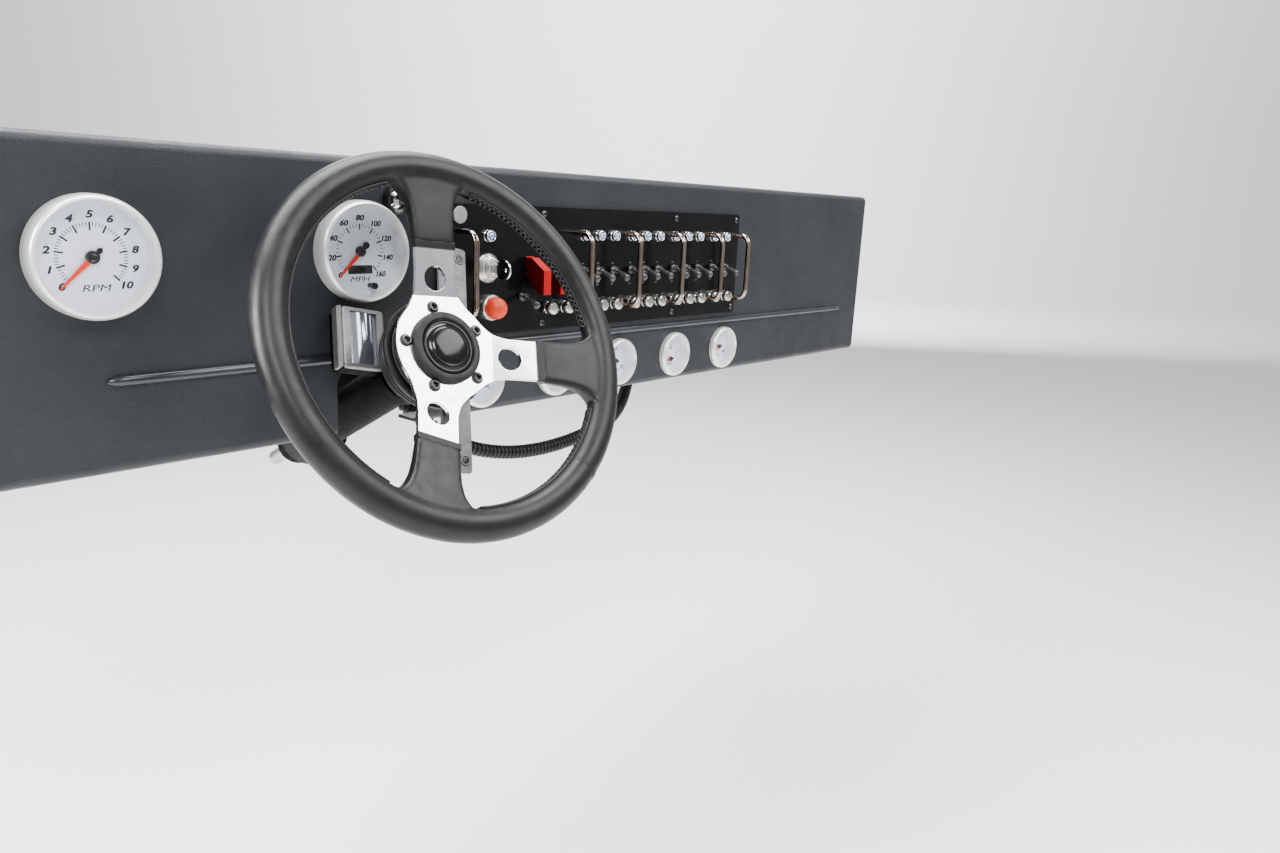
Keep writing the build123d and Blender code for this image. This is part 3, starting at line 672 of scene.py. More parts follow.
class DashboardColours(bpy.types.PropertyGroup):
    """Colours of the main finishes."""

    dash_paint: colour("Dash paint", "Colour of the wrinkle paint", (0.036, 0.039, 0.044))
    leather: colour("Leather", "Colour of the rim's leather", (0.014, 0.014, 0.015))
    spoke: colour("Spokes", "Colour of the polished spokes", (0.86, 0.87, 0.89))
    bezel: colour("Bezels", "Colour of the gauge bezels", (0.9, 0.9, 0.89))
    dial: colour("Dials", "Colour of the gauge dials", (0.8, 0.84, 0.92))
    needle: colour("Needles", "Colour of the needles", (0.85, 0.05, 0.02))
    button: colour("Push button", "Colour of the push button", (0.75, 0.085, 0.04))
    cover: colour("Switch covers", "Colour of the flip-up covers", (0.44, 0.01, 0.008))


# Operators, one for each piece or group of like pieces


class DASH_OT_finishes(bpy.types.Operator):
    """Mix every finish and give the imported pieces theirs"""

    bl_idname = "dash.finishes"
    bl_label = "Mix finishes"

    def execute(self, context):
        make_groups()
        make_finishes(context.scene.dashboard_colours)
        repaint("dash paint", "dash_panel")
        repaint("frame black", "cross_rail", "column_hanger")
        repaint("column black", "column_jacket", "pod_housing", "hub_adaptor")
        repaint("turned steel", "column_bearings", "steering_shaft")
        repaint("case black", "loom_glands", "hub_spacer")
        repaint("dial silver", "big_gauge_dials", "small_gauge_dials")
        repaint("gauge glass", "big_gauge_glasses", "small_gauge_glasses")
        repaint("hub black", "lamp_ring")
        repaint("bright chrome", "lamp_lens")
        repaint("guard chrome", "guard_bars")
        repaint("plug grey", "panel_plug")
        return {"FINISHED"}


class DASH_OT_stage(bpy.types.Operator):
    """Set the camera, the plain floor and backdrop, and the soft lights"""

    bl_idname = "dash.stage"
    bl_label = "Set stage"

    def execute(self, context):
        nothing_chosen()
        bpy.ops.object.camera_add()
        camera = context.object
        camera.name = "viewpoint"
        camera.data.sensor_width = SENSOR
        camera.data.lens = FOCAL * SENSOR / PICTURE_WIDTH
        flat = cos(PITCH)
        ahead = Vector((sin(YAW) * flat, cos(YAW) * flat, -sin(PITCH)))
        level = Vector((cos(YAW), -sin(YAW), 0))
        over = level.cross(ahead)
        right = cos(ROLL) * level + sin(ROLL) * over
        up = -sin(ROLL) * level + cos(ROLL) * over
        place = Matrix((right, up, -ahead)).transposed().to_4x4()
        place.translation = CAMERA_PLACE
        camera.matrix_world = place
        camera.data.clip_start, camera.data.clip_end = 0.02, 60
        context.scene.camera = camera

        stage_paint = bpy.data.materials.new("stage paint")
        stage_paint.use_nodes = True
        shader = stage_paint.node_tree.nodes["Principled BSDF"]
        shader.inputs["Base Color"].default_value = (0.82, 0.82, 0.81, 1)
        shader.inputs["Roughness"].default_value = 0.8
        # A floor that runs up into a backdrop, across the view, by one soft bend.
        middle = (0, BEND_START - FLOOR_SIZE / 2, FLOOR)
        bpy.ops.mesh.primitive_plane_add(size=FLOOR_SIZE, location=middle)
        floor = context.object
        floor.name = "floor"
        bpy.ops.object.transform_apply()
        open_mesh(floor, "EDGE")
        pick_edges(lambda co: co.y > BEND_START - 0.1)
        for k in range(18):
            rise = radians(5 * (k + 0.5))
            pull_out((0, 0.35 * cos(rise), 0.35 * sin(rise)))
        pull_out((0, 0, 12))
        close_mesh()
        carry(floor, Matrix.Rotation(-YAW, 4, "Z"))
        bpy.ops.object.shade_smooth()
        floor.data.materials.append(stage_paint)

        world = bpy.data.worlds.new("studio air")
        world.use_nodes = True
        context.scene.world = world
        air = world.node_tree.nodes["Background"]
        air.inputs["Color"].default_value = (0.95, 0.97, 1.0, 1)
        air.inputs["Strength"].default_value = AIR_STRENGTH
        context.scene.view_settings.look = "AgX - Medium High Contrast"
        for name, at, toward, size, power in (
            ("roof light", (-0.2, 0.35, 2.1), (-0.25, -0.2, 0), (2.8, 1.6), 120),
            ("left light", (-2.3, 0.3, 0.8), (-0.45, -0.3, 0), (0.9, 1.3), 75),
            ("front light", (-1.6, -2.2, 2.0), (-0.2, -0.15, 0), (0.9, 0.9), 45),
            ("spoke light", (0.77, -1.53, 1.45), (-0.3, -0.3, 0.05), (1.9, 1.1), 35),
            ("rear light", (1.5, 2.6, 1.4), (0, 0, 0), (1.2, 1.0), 20),
            ("backdrop light", (3.2, 2.4, 2.6), (9.0, 7.5, 4.6), (3.0, 2.0), 1300),
        ):
            bpy.ops.object.light_add(type="AREA", location=at)
            light = context.object
            light.name = name
            light.data.shape = "RECTANGLE"
            light.data.size, light.data.size_y = size
            light.data.energy = power
            light.rotation_mode = "QUATERNION"
            light.rotation_quaternion = (Vector(toward) - Vector(at)).to_track_quat("-Z", "Y")
        return {"FINISHED"}


class DASH_OT_loom(bpy.types.Operator):
    """Hang the corrugated loom between its two glands"""

    bl_idname = "dash.loom"
    bl_label = "Hang loom"

    def execute(self, context):
        nothing_chosen()
        route = bpy.data.curves.new("corrugated_loom", "CURVE")
        route.dimensions = "3D"
        spline = route.splines.new("NURBS")
        spline.points.add(len(LOOM_ROUTE) - 1)
        for point, place in zip(spline.points, LOOM_ROUTE):
            point.co = (*place, 1)
        spline.order_u = 3
        spline.use_endpoint_u = True
        spline.resolution_u = 24
        line = bpy.data.objects.new("loom_line", route.copy())
        context.scene.collection.objects.link(line)
        context.view_layer.update()
        graph = context.evaluated_depsgraph_get()
        path = [v.co.copy() for v in bpy.data.meshes.new_from_object(line.evaluated_get(graph)).vertices]
        bpy.data.objects.remove(line)
        route.bevel_depth = 0.0064
        route.bevel_resolution = 5
        route.use_fill_caps = True
        loom = bpy.data.objects.new("corrugated_loom", route)
        context.scene.collection.objects.link(loom)

        ridge = turned("ridge", [(6.2, -1.9), (7.4, -1.55), (7.95, -0.9), (8.0, 0.9), (7.4, 1.55),
                                 (6.2, 1.9)], 20, 60)
        pitch = context.scene.dashboard_sizes.ridge_pitch
        places, gone, want = [], 0.0, pitch
        for a, b in zip(path, path[1:]):
            span = (b - a).length
            while gone + span >= want:
                spot = (b - a).to_track_quat("Z", "Y").to_matrix().to_4x4()
                spot.translation = a.lerp(b, (want - gone) / span)
                places.append(spot)
                want += pitch
            gone += span
        ridges = copies(ridge, "loom_ridges", places[:-1])
        hand_over(loom, "dash", "loom_black", "loom plastic", "wiring_loom")
        hand_over(ridges, "dash", "loom_black", "loom plastic")
        return {"FINISHED"}


class DASH_OT_rim(bpy.types.Operator):
    """Model the leather rim and the covers at the ends of its spokes"""

    bl_idname = "dash.rim"
    bl_label = "Model leather rim"

    def execute(self, context):
        sizes = context.scene.dashboard_sizes
        nothing_chosen()
        bpy.ops.mesh.primitive_torus_add(major_radius=RIM_R * MM, minor_radius=RIM_ROUND * MM,
                                         major_segments=192, minor_segments=40)
        rim = context.object
        open_mesh(rim)
        bpy.ops.mesh.select_all(action="SELECT")
        bpy.ops.transform.resize(value=(1, 1, RIM_DEEP / RIM_ROUND), center_override=(0, 0, 0))
        close_mesh()
        slope = tan(radians(SPOKE_SLOPE))
        start_s = PLATE_FRONT - PLATE_THICK / 2 + (COVER_START_R - CREASE_R) * slope
        # Radius, half width, half thickness and height of the leather along a spoke.
        table = [
            (91.0, 20.0, 4.7, start_s + 0.8), (101.0, 20.6, 5.2, start_s + 2.6),
            (113.0, 21.2, 5.8, start_s + 4.4),
            (124.0, 22.6, 6.8, start_s + 5.6), (133.0, 26.0, 7.8, start_s + 6.4),
            (140.0, 32.0, 8.6, start_s + 7.2),
            (146.0, 41.0, 9.0, -0.2), (152.0, 50.0, 8.6, 0.0),
        ]
        parts = [rim]
        for angle in SPOKE_ANGLES:
            r, w, t, s = table[0]
            arm = block("arm", (2.0, 2 * w, 2 * t), 0, (r - 1.0, 0, s))
            open_mesh(arm, "FACE")
            pick_faces(lambda mid, normal: normal.x > 0.9)
            for before, after in zip(table, table[1:]):
                move = Vector((after[0] - before[0], 0, after[3] - before[3])) * MM
                widen = (1, after[1] / before[1], after[2] / before[2])
                pull_out(move, widen, Vector((after[0], 0, after[3])) * MM)
            bpy.ops.mesh.select_all(action="SELECT")
            bpy.ops.mesh.normals_make_consistent(inside=False)
            close_mesh()
            round_edges(arm, 3.6, 4, 40)
            carry(arm, Matrix.Rotation(radians(angle), 4, "Z"))
            parts.append(arm)
        rim = joined("leather_rim", parts)
        fuse = rim.modifiers.new("Fuse", "REMESH")
        fuse.mode = "VOXEL"
        fuse.voxel_size = sizes.rim_voxel
        bpy.ops.object.modifier_apply(modifier=fuse.name)
        relax = rim.modifiers.new("Relax", "SMOOTH")
        relax.factor, relax.iterations = 0.5, 14
        bpy.ops.object.modifier_apply(modifier=relax.name)
        bpy.ops.object.shade_smooth()
        carry(rim, on_column())
        hand_over(rim, "wheel", "rim_leather", "rim leather", "wheel_rim")

        # A folded hem of leather where each cover starts.
        hem = block("hem", (6.4, 39.8, 8.4), 0, (0, 0, 0))
        open_mesh(hem, "FACE")
        pick_faces(lambda mid, normal: abs(normal.x) > 0.99)
        bpy.ops.mesh.inset(thickness=1.2 * MM)
        close_mesh()
        round_edges(hem, 0.9, 4, 40)
        tilt = Matrix.Rotation(radians(-SPOKE_SLOPE), 4, "Y")
        mid_s = PLATE_FRONT - PLATE_THICK / 2 + (90.0 - CREASE_R) * slope
        at = Matrix.Translation(Vector((90.0, 0, mid_s)) * MM)
        hems = copies(hem, "cover_hems", [on_column(turn=a) @ at @ tilt for a in SPOKE_ANGLES])
        hand_over(hems, "wheel", "rim_leather", "rim leather")
        return {"FINISHED"}


class DASH_OT_stitches(bpy.types.Operator):
    """Sew the rim: two leather edges and a row of crossed stitches on its inner side"""

    bl_idname = "dash.stitches"
    bl_label = "Sew rim"

    def execute(self, context):
        pitch = context.scene.dashboard_sizes.stitch_pitch
        edge_r = (RIM_R - RIM_ROUND) * MM
        lips, strands = [], []
        for k, start in enumerate(SPOKE_ANGLES):
            end = SPOKE_ANGLES[(k + 1) % 3] + (360 if k == 2 else 0)
            low, high = radians(start + 16.5), radians(end - 16.5)
            for side in (-1, 1):
                nothing_chosen()
                at = Vector((edge_r + 0.35 * MM, 0, side * 3.5 * MM))
                bpy.ops.mesh.primitive_circle_add(vertices=8, radius=1.25 * MM, rotation=(pi / 2, 0, low),
                                                  location=Matrix.Rotation(low, 3, "Z") @ at)
                lip = context.object
                bpy.ops.object.transform_apply()
                open_mesh(lip)
                bpy.ops.mesh.select_all(action="SELECT")
                count = int((high - low) / radians(1.6))
                bpy.ops.mesh.spin(steps=count, angle=low - high, center=(0, 0, 0), axis=(0, 0, 1))
                bpy.ops.mesh.select_all(action="SELECT")
                bpy.ops.mesh.normals_make_consistent(inside=False)
                close_mesh()
                bpy.ops.object.shade_smooth()
                lips.append(lip)
            steps = int((high - low) * edge_r / pitch)
            for n in range(steps):
                angle = low + (n + 0.5) * (high - low) / steps
                for side in (-1, 1):
                    spot = Matrix.Rotation(angle, 4, "Z")
                    spot = spot @ Matrix.Translation((edge_r - 0.75 * MM, side * 0.35 * MM, 0))
                    strands.append(on_column() @ spot @ Matrix.Rotation(radians(-side * 34), 4, "X"))
        seam = carry(joined("rim_seam_edges", lips), on_column())
        hand_over(seam, "wheel", "rim_leather", "rim leather")
        half = [(0.95, 0), (0.85, 1.6), (0.6, 3.9), (0, 4.4)]
        dress("rim_stitches", [(r, -s) for r, s in half[:0:-1]] + half, strands, "rim_leather",
              "thread black", steps=8, smooth=60, body="wheel")

        # The join across the rim, low on the driver's right.
        nothing_chosen()
        bpy.ops.mesh.primitive_torus_add(major_radius=14.15 * MM, minor_radius=0.42 * MM, major_segments=64,
                                         minor_segments=6, rotation=(pi / 2, 0, 0))
        join = context.object
        bpy.ops.object.transform_apply()
        open_mesh(join)
        bpy.ops.mesh.select_all(action="SELECT")
        bpy.ops.transform.resize(value=(1, 1, RIM_DEEP / RIM_ROUND), center_override=(0, 0, 0))
        close_mesh()
        bpy.ops.object.shade_smooth()
        spot = Matrix.Translation((RIM_R * MM, 0, 0))
        ring = copies(join, "rim_join", [on_column(turn=t) @ spot for t in (-53.2, -54.2)])
        hand_over(ring, "wheel", "rim_leather", "thread black")
        return {"FINISHED"}


class DASH_OT_spokes(bpy.types.Operator):
    """Round the spoke plate's edges and set its screws, bar, boot and horn button"""

    bl_idname = "dash.spokes"
    bl_label = "Model spokes and hub"

    def execute(self, context):
        edge = context.scene.dashboard_sizes.edge_round / MM
        plate = softened("spoke_plate", "polished_spokes", edge, 3, 35, 11)
        hand_over(plate, "wheel", "spoke_aluminium", "spoke metal", "spoke_plate")
        bar = softened("rear_bar", "button_bar", edge, 2)
        hand_over(bar, "wheel", "bar_grey", "bar grey", "rear_bar")

        # Flanged screws with a hexagon sunk in each head; each socket is lined in black as painted shade.
        places = []
        for k in range(5):
            a = radians(21 + 72 * k)
            places.append(on_column(37.2 * cos(a), 37.2 * sin(a), PLATE_FRONT))
        dress("hub_screws", [
            (2.45, 2.6), (2.8, 3.0), (3.5, 3.1), (4.1, 2.7), (4.4, 1.8), (4.5, 1.1), (5.2, 0.9), (5.5, 0.5),
            (5.5, 0.0), (5.0, -0.2), (2.45, -0.2), (2.45, 2.6)], places, "steel", "screw steel", body="wheel")
        # Painted shade: a black hexagonal cup lines each screw's socket.
        dress("hub_sockets", [(0, 0.4), (2.0, 0.4), (2.0, 2.2), (2.6, 2.75), (2.6, 0.0), (0, 0.0)], places,
              "frame_black", "hub black", steps=6, smooth=20, body="wheel")
        places = [on_column(turn=SPOKE_ANGLES[0]) @ Matrix.Translation(Vector((22.5, y,
                                                                               BAR_FRONT + 0.2)) * MM)
                  for y in (-94, 94)]
        dress("bar_screw_rims", [
            (3.2, 0.0), (3.4, 0.7), (4.0, 0.9), (4.7, 0.7), (5.0, 0.2), (5.0, -0.2), (3.2, -0.2), (3.2, 0.0)],
            places, "steel", "bar grey", steps=40, body="wheel")
        dress("bar_screws", [(0, 0.3), (1.5, 0.3), (1.8, 0.9), (3.0, 0.8), (3.3, 0.2), (3.3, -0.2),
                             (0, -0.2)],
              places, "frame_black", "hub black", steps=6, smooth=25, body="wheel")

        dress("horn_surround", [
            (24.7, -18.0), (24.7, -12.6), (25.3, -11.9), (26.6, -11.7), (29.4, -11.9), (30.6, -12.4),
            (31.4, -13.4), (32.0, -14.8), (32.0, -18.0), (24.7, -18.0)],
            [on_column()], "ring_rubber", "ring rubber", "horn_ring", steps=96, smooth=30, body="wheel")
        dress("horn_button", [
            (0, -21.0), (24.5, -21.0), (24.5, -12.6), (24.2, -12.0), (23.4, -11.7), (22.6, -12.0),
            (22.2, -12.5),
            (21.4, -12.5), (20.8, -11.9), (19.6, -10.9), (18.2, -10.3), (17.6, -10.5), (17.2, -10.6),
            (16.6, -10.1), (14.0, -9.1), (9.0, -8.45), (4.0, -8.2), (0, -8.15)],
            [on_column()], "cap_gloss", "cap gloss", "horn_cap", steps=96, smooth=30, body="wheel")

        # Boot: ribs rolled between the bar and the shaft.
        profile = [(44.1, -32.0), (48.2, -32.0), (49.0, -32.8), (49.0, -36.0), (48.3, -38.0)]
        for k, (high, low) in enumerate(((47.2, 44.4), (45.6, 42.6), (43.2, 40.0), (39.6, 36.4))):
            top = -39.4 - 6.2 * k
            profile += [(low, top - 0.2), (low + 0.3, top - 1.2), (high - 0.4, top - 2.4), (high, top - 3.5),
                        (high - 0.5, top - 4.7)]
        profile += [(32.0, -65.0), (26.0, -66.2), (19.4, -66.4), (19.4, -64.4), (26.0, -64.0), (30.0, -61.0),
                    (35.0, -54.0), (41.6, -42.0), (43.4, -38.0), (44.1, -32.0)]
        dress("ribbed_boot", profile, [on_column()], "boot_rubber", "boot rubber", "hub_boot", steps=72,
              smooth=50, body="wheel")
        return {"FINISHED"}


class DASH_OT_gauges(bpy.types.Operator):
    """Model the gauges: rounded bezels, printed dials, needles and the speedometer's window"""

    bl_idname = "dash.gauges"
    bl_label = "Model gauges"

    def bezel_and_case(self, name, bezel_r, case_r, standoff, dial_h, glass_h, depth, places, crest):
        lip, half = bezel_r - 4.2, standoff / 2
        inner = lip - 1.4
        # The bezel's outside stands straight for half its height and rolls over in one curve.
        shell = [(case_r, 0.0), (bezel_r - 0.5, 0.0), (bezel_r, 0.6)]
        for a in (0, 15, 30, 44, 56, 67, 77, 85):
            a = radians(a)
            shell.append((bezel_r - crest * (1 - cos(a)), half + half * sin(a)))
        shell += [(lip + 0.3, standoff), (lip, standoff - 0.4), (lip - 0.3, standoff - 1.2), (inner, glass_h),
                  (inner, dial_h - 1.2), (case_r - 2.4, dial_h - 1.2)]
        shell += [(case_r - 2.4, 0.0), (case_r, 0.0)] if dial_h > 1.2 else [(case_r, dial_h - 1.2),
                                                                            (case_r, 0.0)]
        places = [on_face(u, v) for u, v in places]
        dress(name + "_bezels", shell, places, "bezel_silver", "bezel silver", name + "_cases", steps=128,
              smooth=30)
        high = min(0.0, dial_h - 1.25)
        can = [(0, -depth), (case_r * 0.35, -depth), (case_r * 0.36, -depth + 1.5),
               (case_r - 4, -depth + 1.5),
               (case_r - 1.2, -depth + 2.2), (case_r, -depth + 4), (case_r, high), (case_r - 2.4, high),
               (case_r - 2.4, dial_h - 1.25), (0, dial_h - 1.25)]
        dress(name + "_cans", can, places, "black_plastic", "case black", name + "_cases", steps=72)

    def lettering(self, words, high, place, parts, wide=1.3, heavy=0.055):
        """A dial's print, in slanted heavy letters of that height."""
        parts.append(flat_print(words, high / 0.7, place, 0.05, 0.22, high * heavy, wide))

    def ticks(self, u, v, height, low, high, sweep, count, every, parts, wide=0.9):
        """Short bars round the dial, longer at each number."""
        start, total = sweep
        for n in range(count + 1):
            big = n % every == 0
            near = low if big else low + 0.5 * (high - low)
            thick = wide if big else wide * 0.45
            bar = block("tick", (high - near, thick, 0.12), 0, ((near + high) / 2, 0, height + 0.06))
            open_mesh(bar, "FACE")
            pick_faces(lambda mid, normal: normal.z > 0.9)
            bpy.ops.transform.resize(value=(0.97, 0.85, 1), center_override=((near + high) / 2 * MM, 0, 0))
            close_mesh()
            parts.append(carry(bar, on_face(u, v, 0, start + total * n / count)))

    def needle(self, u, v, height, bezel_r, angle, ball, pointers, hubs):
        """A red arm that tapers to its tip, on a black hub with a black tail."""
        mid = (0, 0, (height + 2.1) * MM)
        wide, hub_r = 0.088 * bezel_r, 0.105 * bezel_r
        arm = block("arm", (hub_r, wide, 1.0), 0, (hub_r / 2, 0, height + 2.1))
        open_mesh(arm, "FACE")
        pick_faces(lambda place, normal: normal.x > 0.9)
        pull_out(((0.71 * bezel_r - hub_r - 0.8) * MM, 0, 0), (1, 0.3, 0.8), mid)
        pull_out((0.8 * MM, 0, 0), (1, 0.3, 0.7), mid)
        close_mesh()
        round_edges(arm, 0.12, 2, 40)
        pointers.append(carry(arm, on_face(u, v, 0, angle)))
        tail = block("tail", (hub_r, 0.8 * wide, 0.9), 0, (-hub_r / 2, 0, height + 2.1))
        open_mesh(tail, "FACE")
        pick_faces(lambda place, normal: normal.x < -0.9)
        pull_out(((hub_r - 0.16 * bezel_r) * MM, 0, 0), (1, 0.75 if ball else 1.3, 1), mid)
        pull_out((-0.04 * bezel_r * MM, 0, 0), (1, 0.8 if ball else 0.3, 0.9), mid)
        close_mesh()
        hubs.append(carry(tail, on_face(u, v, 0, angle)))
        if ball:
            r = 0.07 * bezel_r
            end = turned("ball", [(0, height + 1.5), (r, height + 1.5), (r, height + 2.4),
                                  (r - 0.3, height + 2.7), (0, height + 2.8)], 28, 35)
            place = on_face(u, v, 0, angle) @ Matrix.Translation((-0.17 * bezel_r * MM, 0, 0))
            hubs.append(carry(end, place))
        hub = turned("hub", [(0, height), (hub_r, height), (hub_r, height + 2.6), (hub_r - 0.5, height + 3.1),
                             (hub_r * 0.6, height + 3.3), (hub_r * 0.5, height + 3.0), (0, height + 3.0)],
                     36, 35)
        hubs.append(carry(hub, on_face(u, v)))

    def execute(self, context):
        crest = context.scene.dashboard_sizes.bezel_round / MM
        big, small = 3.0, -4.0
        self.bezel_and_case("big_gauge", BIG_BEZEL_R, 42.0, 18.0, big, 14.4, 58.0, [TACH, SPEEDO], crest)
        self.bezel_and_case("small_gauge", SMALL_BEZEL_R, 26.0, 9.0, small, 5.4, 52.0, SMALL_GAUGES, crest)
        print_parts, pointers, hubs = [], [], []
        u, v = TACH
        self.ticks(u, v, big, 19.0, 25.0, (224.0, -268.0), 50, 5, print_parts, 1.3)
        for n in range(11):
            a = radians(224.0 - 26.8 * n)
            self.lettering(str(n), 5.0, on_face(u + 30.2 * cos(a), v + 30.2 * sin(a), big + 0.05),
                           print_parts)
        self.lettering("RPM", 4.9, on_face(u + 1.0, v - 22.5, big + 0.05), print_parts, 1.5, 0.0)
        self.needle(u, v, big, BIG_BEZEL_R, 224.0, False, pointers, hubs)
        u, v = SPEEDO
        self.ticks(u, v, big, 19.0, 24.3, (225.0, -270.0), 32, 4, print_parts, 1.3)
        for n in range(9):
            a = radians(225.0 - 33.75 * n)
            place = on_face(u + 29.4 * cos(a), v + 29.4 * sin(a), big + 0.05)
            self.lettering(str(20 * n), 4.6, place, print_parts, 1.25 if n < 5 else 1.1)
        self.lettering("MPH", 4.7, on_face(u - 1.0, v - 25.0, big + 0.05), print_parts, 1.5, 0.0)
        self.needle(u, v, big, BIG_BEZEL_R, 225.0, True, pointers, hubs)
        window = block("window", (25.0, 7.6, 0.5), 0.2, (0, 0, 0.15), 2)
        open_mesh(window, "FACE")
        pick_faces(lambda mid, normal: normal.z > 0.99 and mid.z > 0)
        bpy.ops.mesh.inset(thickness=0.8 * MM)
        bpy.ops.transform.translate(value=(0, 0, -0.2 * MM))
        close_mesh()
        hand_over(carry(window, on_face(u, v - 16.2, big)), "dash", "black_plastic", "window dark")
        dress("reset_knob", [
            (0, 0.0), (2.3, 0.0), (2.3, 5.6), (2.9, 6.0), (3.1, 6.6), (3.1, 8.8), (2.7, 9.4), (0, 9.5)],
            [on_face(u + 9.5, v - 30.5, big)], "black_plastic", "hub black", steps=32)
        small_prints = (
            (("0", "50", "100"), "PSI", 20, 10), (("E", "1/2", "F"), "FUEL", 12, 6),
            (("8", "13", "18"), "VOLTS", 20, 10), (("100", "180", "260"), "TEMP", 16, 8),
            (("0", "15", "30"), "PSI", 20, 10),
        )
        for k, ((u, v), (words, unit, count, every)) in enumerate(zip(SMALL_GAUGES, small_prints)):
            # The fuel gauge's hub sits low, under a fan of marks.
            low = 7.5 if k == 1 else 0.0
            start, total, far = (152.0, -124.0, 20.5) if low else (215.0, -250.0, 20.8)
            v -= low
            self.ticks(u, v, small, far - 3.6, far, (start, total), count, every, print_parts, 0.8)
            for n, word in enumerate(words):
                a = radians(start + total * n / 2)
                reach = far - 6.6
                place = on_face(u + reach * cos(a), v + reach * sin(a), small + 0.05)
                self.lettering(word, 3.4, place, print_parts, 1.2, 0.04)
            self.lettering(unit, 2.8, on_face(u, v - (7.0 if low else 12.0), small + 0.05), print_parts,
                           1.3, 0.0)
            self.needle(u, v, small, SMALL_BEZEL_R, 198.0 - 14.0 * k, False, pointers, hubs)
        hand_over(joined("dial_prints", print_parts), "dash", "dial_white", "dial ink")
        hand_over(joined("gauge_pointers", pointers), "dash", "needle_red", "needle red",
                  "big_gauge_needles", "small_gauge_needles")
        hand_over(joined("gauge_hubs", hubs), "dash", "black_plastic", "hub black",
                  "big_gauge_needles", "small_gauge_needles")
        return {"FINISHED"}


